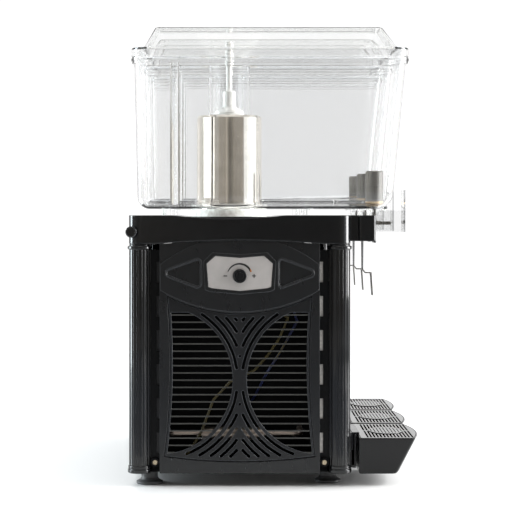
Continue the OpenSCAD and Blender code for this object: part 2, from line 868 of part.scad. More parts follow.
// upright sheet on the base pan that leads the air to the fan, with holes for the line and the lead
baffle_x = -half_w + 88;
baffle_h = deck_bot - foot_h - 62;
module air_baffle() {
  color(dark_c) set_back() difference() {
    translate([baffle_x, -pan_y + 6, foot_h + pan_t]) {
      cube([2, 2 * pan_y - 12, baffle_h]);
      translate([-14, 0, 0]) cube([16, 2 * pan_y - 12, 2]);
    }
    for (y = [line_y + 14, line_front - 14]) {
      translate([baffle_x - 1, y, line_z]) rotate([0, 90, 0]) cylinder(d = 15, h = 4);
    }
    translate([baffle_x - 1, lead_end.y + 2.7, lead_end.z - 5.4]) rotate([0, 90, 0]) cylinder(d = 12, h = 4);
  }
}

module drive_motors() {
  color(dark_c) set_back() for (k = [1 : 3]) {
    translate([tank_x(k), evap_y, 0]) {
      translate([0, 0, deck_z - deck_t - 46]) cylinder(d = 64, h = 46);
      translate([0, 0, deck_z - deck_t - 1]) cylinder(d = 24, h = evap_top - evap_t - deck_z + deck_t - 18);
      translate([0, 0, evap_top - evap_t - 20]) cylinder(d = 40, h = 18);
    }
  }
}

evap_lip = 2;
module evaporators() {
  color(steel_c) set_back() for (k = [1 : 3]) {
    translate([tank_x(k), evap_y, 0]) rotate_extrude($fn = 96) polygon([
      [evap_d / 2 - 12, seat_z], [evap_d / 2 + evap_lip, seat_z], [evap_d / 2 + evap_lip, seat_z + 2],
      [evap_d / 2, seat_z + 2], [evap_d / 2, evap_top - 4], [evap_d / 2 - 1.2, evap_top - 1.2],
      [evap_d / 2 - 4, evap_top], [2, evap_top], [2, evap_top + 9], [0, evap_top + 9],
      [0, evap_top - evap_t], [evap_d / 2 - evap_t - 3, evap_top - evap_t],
      [evap_d / 2 - evap_t, evap_top - 5], [evap_d / 2 - evap_t, seat_z + 2],
      [evap_d / 2 - 12, seat_z + 2]]);
  }
}

module evaporator_gaskets() {
  color(tan_c) set_back() for (k = [1 : 3]) {
    translate([tank_x(k), evap_y, seat_z]) difference() {
      cylinder(d = evap_d + 16, h = tank_z - seat_z - gap);
      translate([0, 0, -eps]) cylinder(d = evap_d + 2 * evap_lip + 0.6, h = 20);
    }
  }
}

// low round base over the impeller with a short neck
pump_h = 39;
module pump_housings() {
  color(white_c) set_back() for (k = [1 : 3]) {
    translate([tank_x(k), evap_y, evap_top]) rotate_extrude() polygon([[20, 0], [23, 0], [23, 5], [20.5, 8],
      [14, 11], [10.5, 14], [10, 16], [10, pump_h - 2], [8, pump_h], [3, pump_h], [3, 14],
      [13, 9.5], [20, 5.5]]);
  }
}

riser_z = evap_top + pump_h;
riser_top = lid_z + skirt_h + 14;
module riser_tubes() {
  color(white_c) set_back() for (k = [1 : 3]) {
    translate([tank_x(k), evap_y, 0]) rotate_extrude() polygon(concat([[3, riser_z], [4.6, riser_z]],
      [for (i = [0 : 2]) each [[4.6, riser_top - 36 + i * 12], [6.6, riser_top - 34.5 + i * 12],
      [6.6, riser_top - 28 + i * 12], [4.6, riser_top - 26.5 + i * 12]]],
      [[4.6, riser_top], [0, riser_top], [0, riser_top - 3], [3, riser_top - 3]]));
  }
}

sleeve_d = 64;
sleeve_t = 2;
module spray_sleeves() {
  color(clear_c) set_back() for (k = [1 : 3]) {
    translate([tank_x(k), evap_y, evap_top]) difference() {
      cylinder(d = sleeve_d, h = tank_top - 8 - evap_top);
      translate([0, 0, -eps]) cylinder(d = sleeve_d - 2 * sleeve_t, h = tank_h);
    }
  }
}

module impeller(k) {
  color(white_c) set_back() translate([tank_x(k), evap_y, evap_top + 0.6]) {
    difference() {
      union() {
        cylinder(d = 30, h = 2);
        cylinder(d = 11, h = 8);
        for (i = [0 : 5]) {
          rotate(i * 60) translate([4, -0.9, 0.5]) cube([10.5, 1.8, 5.5]);
        }
      }
      translate([0, 0, -eps]) cylinder(d = 4 + 2 * gap, h = 20);
    }
  }
}

// hollow or full form of a tank, shrunk by inset
module tank_form(inset, up) {
  hull() {
    for (s = [-1, 1]) {
      translate([s * (tank_w / 2 - side_lean - r_rear), tank_rear - rear_lean - r_rear, tank_z + r_rear])
        sphere(r_rear - inset, $fn = 32);
      translate([s * (tank_w / 2 - side_lean - r_front), tank_front + front_lean + r_front, tank_z + r_front])
        sphere(r_front - inset, $fn = 32);
      translate([s * (tank_w / 2 - r_top), tank_rear - r_top, tank_top - rim_h])
        cylinder(r = r_top - inset, h = rim_h + up);
      translate([s * (tank_w / 2 - r_top), tank_front + r_top, tank_top - rim_h])
        cylinder(r = r_top - inset, h = rim_h + up);
    }
  }
}

module rim_outline(out) {
  rrect(-tank_w / 2 - out, tank_w / 2 + out, tank_front - out, tank_rear + out, r_top + out);
}

foot_rows = [half_d - 55.5, -half_d + 62.5];
module tank(k) {
  color(clear_c) set_back() translate([tank_x(k), 0, 0]) difference() {
    union() {
      difference() {
        union() {
          tank_form(0, 0);
          translate([0, 0, tank_top - rim_h]) linear_extrude(rim_h) rim_outline(rim_out - 1.5);
          translate([0, 0, tank_top - 6]) linear_extrude(4) rim_outline(rim_out);
          translate([0, tap_y, sump_z]) cylinder(d = sump_d, h = 34);
        }
        difference() {
          tank_form(tank_t, 2);
          // moulded rib inside each side wall
          for (s = [-1, 1]) {
            translate([s * (tank_w / 2 - 6), tank_rear - 62, tank_z]) cylinder(r = 7, h = tank_h - rim_h);
          }
          translate([0, evap_y, tank_z]) cylinder(d = evap_d + 9, h = 9);
          translate([40, tap_y + 58, tank_z]) cylinder(d = 7, h = 12);
        }
      }
      for (s = [-1, 1]) {
        for (y = foot_rows) {
          translate([s * 58, y, deck_z + gap]) cylinder(d = 14, h = tank_z - deck_z - gap + 1.5);
        }
      }
    }
    translate([0, evap_y, tank_z - eps]) cylinder(d = evap_d + 1.2, h = 30);
    translate([0, tap_y, sump_z - eps]) cylinder(d = bore_d, h = 20);
    translate([0, tap_y, seat_top]) cylinder(d = sump_d - 2 * tank_t, h = 60);
  }
}

module roof_form(inset, down) {
  hull() {
    translate([0, 0, roof_z - down]) linear_extrude(0.5 + down)
      rrect(-tank_w / 2 + 8 + inset, tank_w / 2 - 8 - inset,
        tank_front + 12.5 + inset, tank_rear - 14.5 - inset, 12);
    translate([0, 0, roof_z + lid_rise - 0.5 - inset]) linear_extrude(0.5)
      rrect(-tank_w / 2 + 44 + inset, tank_w / 2 - 44 - inset,
        tank_front + 34 + inset, tank_rear - 31 - inset, 6);
  }
}

module lid(k) {
  color(clear_c) set_back() translate([tank_x(k), 0, 0]) difference() {
    union() {
      translate([0, 0, lid_z]) linear_extrude(skirt_h) rim_outline(rim_out - 0.6);
      roof_form(0, 0);
      translate([0, 0, tank_top - 6]) linear_extrude(12) rim_outline(-tank_t - 1);
    }
    difference() {
      translate([0, 0, lid_z - eps]) linear_extrude(skirt_h - lid_t + eps) rim_outline(rim_out - 0.6 - lid_t);
      translate([0, 0, lid_z - 2]) linear_extrude(skirt_h + 4) rim_outline(-tank_t - 1);
    }
    translate([0, 0, tank_top - 7]) linear_extrude(roof_z - lid_t - tank_top + 7) rim_outline(-tank_t - 3.2);
    roof_form(2.6, 4);
  }
}

module spout(k) {
  color(clear_c) set_back() translate([tank_x(k), 0, 0]) difference() {
    union() {
      difference() {
        translate([-hood_w / 2, hood_y1, hood_z]) cube([hood_w, hood_y0 - hood_y1, sump_z - hood_z]);
        translate([-hood_w / 2 + hood_t, hood_y1 + hood_t, hood_z - eps])
          cube([hood_w - 2 * hood_t, 80, sump_z - hood_z + 3 * eps]);
      }
      translate([-hood_w / 2, hood_y1, sump_z - 1]) cube([hood_w, hood_t, fin_z - sump_z + 1]);
      translate([0, tap_y, tube_z]) cylinder(d = bore_d + 6, h = sump_z - tube_z);
      translate([-hood_w / 2, tap_y - 9, sump_z - 3]) cube([hood_w, 18, 3]);
    }
    translate([0, tap_y, tube_z - eps]) cylinder(d = bore_d, h = 20);
    translate([-hood_w / 2 - eps, pivot_y, pivot_z]) rotate([0, 90, 0])
      cylinder(d = pin_d + 2 * gap, h = hood_w + 2 * eps);
  }
}

module piston(k) {
  color(steel_c) set_back() translate([tank_x(k), tap_y, 0]) {
    rotate_extrude() polygon([[0, piston_z], [piston_d / 2, piston_z],
      [piston_d / 2, piston_z + piston_h / 2 - 0.6],
      [piston_d / 2 - 0.5, piston_z + piston_h / 2], [piston_d / 2, piston_z + piston_h / 2 + 0.6],
      [piston_d / 2, piston_z + piston_h - 1.5], [piston_d / 2 - 1.5, piston_z + piston_h],
      [0, piston_z + piston_h]]);
    translate([0, 0, stem_z]) cylinder(d = stem_d, h = piston_z - stem_z + 1);
  }
}

module piston_seal(k) {
  color(tan_c) set_back() translate([tank_x(k), tap_y, seal_z]) rotate_extrude()
    polygon([[stem_d / 2 + 0.05, 0],
    [piston_d / 2 - 2, 0], [piston_d / 2 + 0.8, 2], [piston_d / 2 + 0.8, seal_h - 1.5],
    [piston_d / 2 - 0.5, seal_h],
    [stem_d / 2 + 0.05, seal_h]]);
}

module lever(k) {
  color(steel_c) set_back() translate([tank_x(k), 0, 0]) {
    union() {
      for (s = [-1, 1]) {
        translate([s * (lever_w / 2 - lever_t / 2) - lever_t / 2, pivot_y - 4, pivot_z - arm_h / 2])
          cube([lever_t, leg_y - pivot_y + 4, arm_h]);
      }
      translate([-hood_w / 2, pivot_y, pivot_z]) rotate([0, 90, 0]) cylinder(d = pin_d, h = hood_w, $fn = 24);
      translate([-lever_w / 2 + 0.5, tap_y, pivot_z]) rotate([0, 90, 0])
        cylinder(d = pin_d, h = lever_w - 1, $fn = 24);
      intersection() {
        side_plate(-lever_w, 2 * lever_w) polygon([[leg_y, lever_top], [leg_y, step_z + 6], [leg_y - 5, step_z],
          [leg_y - step_y, step_z], [leg_y - step_y - toe_lean, toe_z],
          [leg_y - step_y - toe_lean - lever_t, toe_z], [leg_y - step_y - lever_t, step_z + lever_t],
          [leg_y - 5.6, step_z + lever_t], [leg_y - lever_t, step_z + 6.5], [leg_y - lever_t, lever_top]]);
        translate([0, leg_y + 1, 0]) rotate([90, 0, 0]) linear_extrude(step_y + 12)
          polygon([[-lever_w / 2, lever_top + 1], [-lever_w / 2, lever_top - 14], [-toe_w / 2, step_z + 9],
            [-toe_w / 2, toe_z - 1], [toe_w / 2, toe_z - 1], [toe_w / 2, step_z + 9],
            [lever_w / 2, lever_top - 14], [lever_w / 2, lever_top + 1]]);
      }
    }
  }
}

// plan of a tray: square at the back, rounded and slightly bowed at the front
// plan of a tray: straight sides, small corners and a bowed front that reaches y2
tray_corner = 6;
tray_bow = 11;
function tray_plan(w, y0, y2) = let (r = tray_corner, h = w / 2, xe = h - 0.741 * r,
  cy = y2 + tray_bow * pow(xe / h, 2) + 0.966 * r) concat([[h, y0], [-h, y0]],
  [for (a = [180 : 15 : 255]) [-h + r + r * cos(a), cy + r * sin(a)]],
  [for (i = [-5 : 5]) let (x = xe * i / 6) [x, y2 + tray_bow * pow(x / h, 2)]],
  [for (a = [285 : 15 : 360]) [h - r + r * cos(a), cy + r * sin(a)]]);

module tray_form(inset, z0, z1) {
  hull() {
    translate([0, 0, z1 - 0.5]) linear_extrude(0.5)
      polygon(tray_plan(tray_w - 2 * inset, tray_back - inset, tray_front + inset));
    translate([0, 0, z0]) linear_extrude(0.5)
      polygon(tray_plan(tray_w - 12 - 2 * inset, tray_back - inset, tray_front + tray_lean + inset));
  }
}

module drip_tray(k) {
  color(black_c) set_back() translate([tank_x(k), 0, 0]) {
    difference() {
      tray_form(0, tray_z, tray_top);
      tray_form(tray_t + 3, tray_z + tray_t, tray_top + 1);
      translate([0, 0, tray_top - grid_t - gap]) linear_extrude(10)
        polygon(tray_plan(tray_w - 2 * tray_t, tray_back - tray_t, tray_front + tray_t));
    }
    // hook over the rail
    translate([-hook_w / 2, rail_y0 + rail_wall + 0.8, foot_h + 30])
      cube([hook_w, hook_t, rail_top - foot_h - 30]);
    translate([-hook_w / 2, tray_back - 1, rail_top - 2.5])
      cube([hook_w, rail_y0 + rail_wall + 0.8 + hook_t - tray_back + 1, 2.5]);
    translate([-hook_w / 2, tray_back - tray_t, tray_top - 8])
      cube([hook_w, tray_t, rail_top - tray_top + 8]);
  }
}

// slots of a grid lie on both sides of an oval cup rest, which has finer ones
rest_x = 38;
rest_y = 27;
rest_mid = (tray_back + tray_front) / 2;
slot_rows = floor((tray_d - 22) / grid_pitch);
function row_y(i) = rest_mid + (i - (slot_rows - 1) / 2) * grid_pitch;
function rest_half(y) = rest_x * sqrt(max(0, 1 - pow((y - rest_mid) / rest_y, 2)));
module drip_grid(k) {
  color(black_c) set_back() translate([tank_x(k), 0, tray_top - grid_t]) difference() {
    union() {
      linear_extrude(grid_t)
        polygon(tray_plan(tray_w - 2 * tray_t - 2 * gap, tray_back - tray_t - gap, tray_front + tray_t + gap));
      translate([0, rest_mid, grid_t - 0.5]) linear_extrude(1.3) scale([rest_x / rest_y, 1])
        circle(rest_y, $fn = 72);
    }
    for (i = [0 : slot_rows - 1]) {
      x0 = rest_half(row_y(i)) + 3;
      x1 = tray_w / 2 - 9;
      for (s = [0, 1]) {
        mirror([s, 0, 0]) translate([x0, row_y(i) - grid_slot / 2, -eps])
          cube([x1 - x0, grid_slot, grid_t + 4]);
      }
      if (rest_half(row_y(i)) > 12) {
        translate([5 - rest_half(row_y(i)), row_y(i) - grid_slot / 4, -eps])
          cube([2 * rest_half(row_y(i)) - 10, grid_slot / 2, grid_t + 4]);
      }
    }
  }
}

// leads between the thermostat, the motors and the gland, held inside the cabinet
function lead_path(p, t) = let (n = len(p) - 1, i = min(floor(t * n), n - 1), u = t * n - i,
  v = u * u * (3 - 2 * u))
  p[i] * (1 - v) + p[i + 1] * v + [3 * sin(t * 540), 0, 0];

module lead(p, d) {
  rings = 64;
  sides = 6;
  pts = [for (i = [0 : rings]) let (c = lead_path(p, i / rings), q = lead_path(p, min(1, i / rings + 0.004)),
    b = lead_path(p, max(0, i / rings - 0.004)), dir = (q - b) / norm(q - b), e1 = cross([1, 0, 0], dir),
    n1 = e1 / norm(e1), n2 = cross(dir, n1)) for (j = [0 : sides - 1])
    c + d / 2 * (n1 * cos(j * 60) + n2 * sin(j * 60))];
  walls = [for (i = [0 : rings - 1]) for (j = [0 : sides - 1]) each [
    [i * sides + j, i * sides + (j + 1) % sides, (i + 1) * sides + (j + 1) % sides],
    [i * sides + j, (i + 1) * sides + (j + 1) % sides, (i + 1) * sides + j]]];
  caps = [[for (j = [sides - 1 : -1 : 0]) j], [for (j = [0 : sides - 1]) rings * sides + j]];
  polyhedron(points = pts, faces = concat([for (f = walls) [f[2], f[1], f[0]]], [for (c = caps)
    [for (m = [len(c) - 1 : -1 : 0]) c[m]]]));
}

module wiring() {
  color([0.5, 0.62, 0.1]) set_back() {
    lead([[lead_x + 4, 90, foot_h + pan_t + 2.4], [lead_x, 57, foot_h + 61], [lead_x, 40, foot_h + 107],
      [lead_x, 14, foot_h + 135], [lead_x, -22, foot_h + 152], [lead_x, -42, foot_h + 174],
      [lead_x, -60, foot_h + 200], [lead_x, -74, foot_h + 232], [lead_x, 8, knob_z - 17.5]], 4);
    lead([[baffle_x + 10, lead_end.y + 5, lead_end.z - 10], [baffle_x - 10, lead_end.y, lead_end.z],
      [lead_x + 8, -43, foot_h + 150], [lead_x + 8, -62, foot_h + 180],
      [lead_x + 8, -88, foot_h + 226], [lead_x + 8, -80, foot_h + 250], [lead_x, -16, knob_z - 17.5]], 4);
  }
}

base_pan();
feet();
corner_columns();
column_collars();
slot_strips();
chassis_posts();
left_side_panel();
right_side_panel();
side_grilles();
control_plate();
dial_marks();
thermostat_body();
thermostat_knob();
front_panel();
rear_panel();
deck();
deck_side_plugs();
panel_screws();
tray_rail();
compressor();
condenser();
fan_motor();
fan();
refrigerant_pipes();
air_baffle();
drive_motors();
evaporators();
evaporator_gaskets();
pump_housings();
riser_tubes();
spray_sleeves();
wiring();
cable_gland();
impeller(1);  // impeller_1
impeller(2);  // impeller_2
impeller(3);  // impeller_3
tank(1);  // tank_1
tank(2);  // tank_2
tank(3);  // tank_3
lid(1);  // lid_1
lid(2);  // lid_2
lid(3);  // lid_3
spout(1);  // spout_1
spout(2);  // spout_2
spout(3);  // spout_3
piston(1);  // piston_1
piston(2);  // piston_2
piston(3);  // piston_3
piston_seal(1);  // piston_seal_1
piston_seal(2);  // piston_seal_2
piston_seal(3);  // piston_seal_3
lever(1);  // lever_1
lever(2);  // lever_2
lever(3);  // lever_3
drip_tray(1);  // drip_tray_1
drip_tray(2);  // drip_tray_2
drip_tray(3);  // drip_tray_3
drip_grid(1);  // drip_grid_1
drip_grid(2);  // drip_grid_2
drip_grid(3);  // drip_grid_3
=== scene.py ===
"""Finishes, clear mouldings and studio of a three-tank drink dispenser, laid over its CAD frame."""
import math

import bpy
from bpy.props import FloatProperty, FloatVectorProperty, PointerProperty
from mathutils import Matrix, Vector


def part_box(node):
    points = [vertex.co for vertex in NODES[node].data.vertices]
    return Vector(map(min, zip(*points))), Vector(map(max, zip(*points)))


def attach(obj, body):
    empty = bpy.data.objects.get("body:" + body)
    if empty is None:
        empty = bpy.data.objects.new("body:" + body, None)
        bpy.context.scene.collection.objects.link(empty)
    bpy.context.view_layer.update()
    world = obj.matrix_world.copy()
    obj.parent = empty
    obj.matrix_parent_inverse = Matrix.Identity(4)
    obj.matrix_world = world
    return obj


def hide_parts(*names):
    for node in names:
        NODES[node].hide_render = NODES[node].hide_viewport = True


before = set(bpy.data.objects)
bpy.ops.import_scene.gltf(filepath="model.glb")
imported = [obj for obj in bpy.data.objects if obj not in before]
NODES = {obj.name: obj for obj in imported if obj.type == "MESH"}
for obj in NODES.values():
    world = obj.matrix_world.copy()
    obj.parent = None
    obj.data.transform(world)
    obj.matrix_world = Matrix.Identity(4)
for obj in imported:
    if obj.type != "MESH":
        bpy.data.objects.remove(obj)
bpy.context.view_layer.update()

bl_info = {
    "name": "Drink Dispenser",
    "version": (1, 0, 0),
    "blender": (4, 5, 0),
    "location": "View3D > Sidebar > Dispenser",
    "description": "Dresses the CAD frame of a three-tank drink dispenser and sets up its studio",
    "category": "Object",
}

TANKS = (1, 2, 3)
# how far the drawing's middle line stands behind the row's origin, and the pitch of the tanks
SET_BACK = 0.05175
TANK_PITCH = 0.180

# colours of small and hidden pieces
# painted shade on the rear posts, which are darker than the bare steel front posts
REAR_POST_PAINTED_SHADE = (0.012, 0.012, 0.013)
SCREW_STEEL = (0.50, 0.42, 0.30)
# painted shade of the cabinet's dark inside, on the base pan and the air baffle
INSIDE_PAINTED_SHADE = (0.0025, 0.0025, 0.0027)
FOOT_RUBBER = (0.045, 0.046, 0.048)
DIAL_INK = (0.012, 0.012, 0.012)
DIAL_ORANGE = (0.45, 0.16, 0.03)
MOTOR_ENAMEL = (0.012, 0.012, 0.013)
FIN_ALUMINIUM = (0.55, 0.55, 0.56)
# the blue lead's own hue, darkened by a painted shade of the cabinet's inside
BLUE_LEAD = (0.006, 0.01, 0.05)

# colour and density of what the clear mouldings take out of the light
TANK_CAST, TANK_DENSITY = (0.28, 0.42, 0.54), 2.0
HOOD_CAST, HOOD_DENSITY = (0.36, 0.37, 0.38), 20.0
# what lamps keep when they shine through a clear moulding
LAMP_TINT = (0.95, 0.955, 0.955, 1)

# the dial's orange end, measured forward from the dial's middle
DIAL_HOT_START, DIAL_HOT_END = 0.0185, 0.0158
# the yellow-green lead runs outside this X, the blue one inside it
LEAD_SPLIT = -0.230
# half width of the change between two banded colours
BAND_FADE = 0.0003
# the grille's cross bars: step behind its face, depth of their fronts that carry a painted highlight, and how
# these fade out
BAR_STEP, BAR_BAND, BAR_FADE = 0.0003, 0.0007, 0.0001
# how much lighter the grille's edges are painted, as a painted highlight
GRILLE_EDGE_HIGHLIGHT = 24.0

# sockets of the colour mix node, which repeats its names for other kinds of data
MIX_A, MIX_B, MIX_OUT = 6, 7, 2


class DispenserFinishes(bpy.types.PropertyGroup):
    """Colours and surface values of the dispenser's pieces"""

    gloss_black: FloatVectorProperty(
        name="Gloss black", description="Collars, deck, columns, trays and grids", subtype="COLOR", size=3,
        min=0.0, max=1.0, default=(0.0052, 0.0055, 0.0062))
    satin_black: FloatVectorProperty(
        name="Satin black", description="Panels, grilles, slotted strips and knob", subtype="COLOR", size=3,
        min=0.0, max=1.0, default=(0.0044, 0.0048, 0.0055))
    plate: FloatVectorProperty(
        name="Control plate", description="Satin aluminium of the thermostat plate", subtype="COLOR", size=3,
        min=0.0, max=1.0, default=(0.43, 0.408, 0.394))
    polished: FloatVectorProperty(
        name="Polished steel", description="Evaporator cylinders", subtype="COLOR", size=3,
        min=0.0, max=1.0, default=(0.84, 0.80, 0.735))
    brushed: FloatVectorProperty(
        name="Brushed steel", description="Tap pistons and levers", subtype="COLOR", size=3,
        min=0.0, max=1.0, default=(0.60, 0.58, 0.55))
    clear: FloatVectorProperty(
        name="Clear moulding", description="Tint of tanks, lids and tap hoods", subtype="COLOR", size=3,
        min=0.0, max=1.0, default=(0.995, 0.996, 0.997))
    white: FloatVectorProperty(
        name="White moulding", description="Pumps, risers and impellers", subtype="COLOR", size=3,
        min=0.0, max=1.0, default=(0.48, 0.465, 0.44))
    seal: FloatVectorProperty(
        name="Seal", description="Soft seals under the pistons", subtype="COLOR", size=3,
        min=0.0, max=1.0, default=(0.42, 0.31, 0.19))
    gasket: FloatVectorProperty(
        name="Gasket", description="Pale rings round the feet of the evaporators", subtype="COLOR", size=3,
        min=0.0, max=1.0, default=(0.86, 0.83, 0.76))
    copper: FloatVectorProperty(
        name="Copper", description="Refrigerant pipes", subtype="COLOR", size=3,
        min=0.0, max=1.0, default=(0.50, 0.42, 0.36))
    post: FloatVectorProperty(
        name="Posts", description="Bare front posts behind the slotted strips", subtype="COLOR", size=3,
        min=0.0, max=1.0, default=(0.62, 0.59, 0.56))
    # painted highlight on the fronts of the grille's cross bars, paler than their black moulding
    bar_highlight: FloatVectorProperty(
        name="Bars", description="Rubbed fronts of the grille's cross bars", subtype="COLOR", size=3,
        min=0.0, max=1.0, default=(0.045, 0.045, 0.041))
    # the yellow-green lead's own hue, darkened by a painted shade of the cabinet's inside
    lead: FloatVectorProperty(
        name="Lead", description="Yellow-green lead behind the grille", subtype="COLOR", size=3,
        min=0.0, max=1.0, default=(0.058, 0.044, 0.006))
    edge_radius: FloatProperty(
        name="Edge radius", description="Rounding that the light shows on moulded edges", unit="LENGTH",
        min=0.0, max=0.003, default=0.0013)
    clear_ior: FloatProperty(
        name="Refraction", description="Index of refraction of the clear mouldings",
        min=1.0, max=2.0, default=1.45)


class DispenserStudio(bpy.types.PropertyGroup):
    """Camera, floor, boards and light of the studio"""

    camera_x: FloatProperty(
        name="Camera distance", description="Camera's place along X", unit="LENGTH", default=-2.726)
    camera_y: FloatProperty(
        name="Camera offset", description="Camera's place along Y", unit="LENGTH", default=0.0649)
    camera_z: FloatProperty(
        name="Camera height", description="Camera's height above the floor", unit="LENGTH", default=0.410)
    lens: FloatProperty(
        name="Lens", description="Focal length in millimetres", min=20.0, max=300.0, default=115.1)
    sky: FloatProperty(
        name="Room light", description="Strength of the light from the room", min=0.0, max=5.0, default=1.09)
    room: FloatVectorProperty(
        name="Room", description="Colour of the room's duller side", subtype="COLOR", size=3,
        min=0.0, max=1.0, default=(0.40, 0.39, 0.37))
    floor: FloatVectorProperty(
        name="Floor", description="Colour of the floor", subtype="COLOR", size=3,
        min=0.0, max=1.0, default=(0.70, 0.70, 0.697))
    card: FloatVectorProperty(
        name="Dark card", description="Card behind the camera that the dispenser mirrors",
        subtype="COLOR", size=3, min=0.0, max=1.0, default=(0.24, 0.22, 0.194))
    key: FloatProperty(
        name="Top light", description="Power of the box light overhead", unit="POWER", default=18.0)
    strip: FloatProperty(
        name="Rear strip", description="Power of the strip light on the rear side",
        unit="POWER", default=75.0)
    wall: FloatProperty(
        name="Front box", description="Power of the wide box light on the front side",
        unit="POWER", default=12.0)
    spark: FloatProperty(
        name="Front strip", description="Power of the strip light that draws the front edges",
        unit="POWER", default=110.0)


class Surface:
    """One material: a Principled shader and the nodes that drive it, read in the row frame in metres."""

    def __init__(self, name):
        self.material = bpy.data.materials.new(name)
        self.material.use_nodes = True
        self.tree = self.material.node_tree
        self.tree.nodes.clear()
        self.out = self.node("ShaderNodeOutputMaterial")
        self.shader = self.node("ShaderNodeBsdfPrincipled")
        self.join(self.shader, "BSDF", self.out, "Surface")
        self.place = self.node("ShaderNodeTexCoord")

    def node(self, kind, **values):
        made = self.tree.nodes.new(kind)
        for key, value in values.items():
            setattr(made, key, value)
        return made

    def join(self, a, a_name, b, b_name):
        self.tree.links.new(a.outputs[a_name], b.inputs[b_name])

    def set(self, **values):
        for key, value in values.items():
            self.shader.inputs[key.replace("_", " ")].default_value = value
        return self

    def grain(self, scale, detail=2.0, stretch=(1, 1, 1)):
        """Noise of that many cells per metre, drawn out along an axis where stretch is below 1."""
        noise = self.node("ShaderNodeTexNoise")
        noise.inputs["Scale"].default_value = scale
        noise.inputs["Detail"].default_value = detail
        if stretch == (1, 1, 1):
            self.join(self.place, "Object", noise, "Vector")
        else:
            mapping = self.node("ShaderNodeMapping")
            mapping.inputs["Scale"].default_value = stretch
            self.join(self.place, "Object", mapping, "Vector")
            self.join(mapping, "Vector", noise, "Vector")
        return noise

    def spread(self, source, output, low, high, start=0.3, end=0.7):
        """A value between low and high that follows the source."""
        ranged = self.node("ShaderNodeMapRange")
        ranged.inputs["From Min"].default_value = start
        ranged.inputs["From Max"].default_value = end
        ranged.inputs["To Min"].default_value = low
        ranged.inputs["To Max"].default_value = high
        self.join(source, output, ranged, "Value")
        return ranged

    def blend(self, factor, output, a, b):
        """A colour between a and b."""
        ramp = self.node("ShaderNodeValToRGB")
        ramp.color_ramp.elements[0].color = (*a, 1)
        ramp.color_ramp.elements[1].color = (*b, 1)
        ramp.color_ramp.elements[0].position = 0.32
        ramp.color_ramp.elements[1].position = 0.68
        self.join(factor, output, ramp, "Fac")
        return ramp

    def bump(self, source, output, strength, depth, under=None):
        bumped = self.node("ShaderNodeBump")
        bumped.inputs["Strength"].default_value = strength
        bumped.inputs["Distance"].default_value = depth
        self.join(source, output, bumped, "Height")
        if under:
            self.join(under[0], under[1], bumped, "Normal")
        return bumped

    def rounded_edges(self, radius):
        """The soft normal of a moulded edge and a mask that is 1 on the edge."""
        bevel = self.node("ShaderNodeBevel", samples=6)
        bevel.inputs["Radius"].default_value = radius
        flat = self.node("ShaderNodeNewGeometry")
        dot = self.node("ShaderNodeVectorMath", operation="DOT_PRODUCT")
        self.join(bevel, "Normal", dot, 0)
        self.join(flat, "Normal", dot, 1)
        mask = self.spread(dot, "Value", 1.0, 0.0, 0.82, 0.99)
        return bevel, mask

    def mix(self, factor, output, a, b):
        """Colour a, as (node, output), mixed with b, a colour or (node, output), by the factor."""
        mixed = self.node("ShaderNodeMix", data_type="RGBA")
        self.join(factor, output, mixed, 0)
        self.join(*a, mixed, MIX_A)
        if isinstance(b[0], (int, float)):
            mixed.inputs[MIX_B].default_value = (*b, 1)
        else:
            self.join(*b, mixed, MIX_B)
        return mixed

    def axes(self):
        """The place in the row frame, split into X, Y and Z."""
        split = self.node("ShaderNodeSeparateXYZ")
        self.join(self.place, "Object", split, "Vector")
        return split

    def unsigned(self, source, output):
        """A value without its sign."""
        bare = self.node("ShaderNodeMath", operation="ABSOLUTE")
        self.join(source, output, bare, 0)
        return bare

    def times(self, a, b):
        """The product of two nodes' values."""
        product = self.node("ShaderNodeMath", operation="MULTIPLY")
        self.join(a, 0, product, 0)
        self.join(b, 0, product, 1)
        return product

    def cloudy(self, noise, colour, dark, light):
        """Base colour that wanders between a darker and a lighter shade."""
        tone = self.blend(noise, "Fac", scaled(colour, dark), scaled(colour, light))
        self.join(tone, "Color", self.shader, "Base Color")

    def gloss(self, noise, low, high):
        """Roughness that follows the noise."""
        self.join(self.spread(noise, "Fac", low, high), "Result", self.shader, "Roughness")

    def relief(self, noise, strength, depth, under=None):
        """Fine relief, laid over the normal under it where one is given."""
        self.join(self.bump(noise, "Fac", strength, depth, under), "Normal", self.shader, "Normal")


def scaled(colour, by):
    return tuple(min(1.0, c * by) for c in colour)


def moulded(name, colour, rough, grain, depth, radius, edge_wear_and_highlight=3.4, gleam=0.5):
    """Moulded plastic: fine spark grain, cloudy gloss and edges painted lighter, partly as wear and partly as
    a painted highlight.
    """
    s = Surface(name)
    tone = s.blend(s.grain(28, 3), "Fac", scaled(colour, 0.84), scaled(colour, 1.2))
    bevel, mask = s.rounded_edges(radius)
    edges_worn_and_lit = s.mix(mask, "Result", (tone, "Color"), scaled(colour, edge_wear_and_highlight))
    s.join(edges_worn_and_lit, MIX_OUT, s.shader, "Base Color")
    s.gloss(s.grain(90, 4, (1, 1, 0.35)), 0.85 * rough, 1.17 * rough)
    s.relief(s.grain(grain, 2), 0.35, depth, (bevel, "Normal"))
    return s.set(IOR=1.5, Specular_IOR_Level=gleam).material


def brushed(name, colour, rough, streak, stretch, spread=0.08, metal=1.0):
    """Metal with fine streaks along one axis."""
    s = Surface(name)
    lines = s.grain(streak, 3, stretch)
    s.cloudy(s.grain(40, 2), colour, 0.93, 1.06)
    s.gloss(lines, rough - spread, rough + spread)
    s.relief(lines, 0.12, 0.00004)
    return s.set(Metallic=metal).material


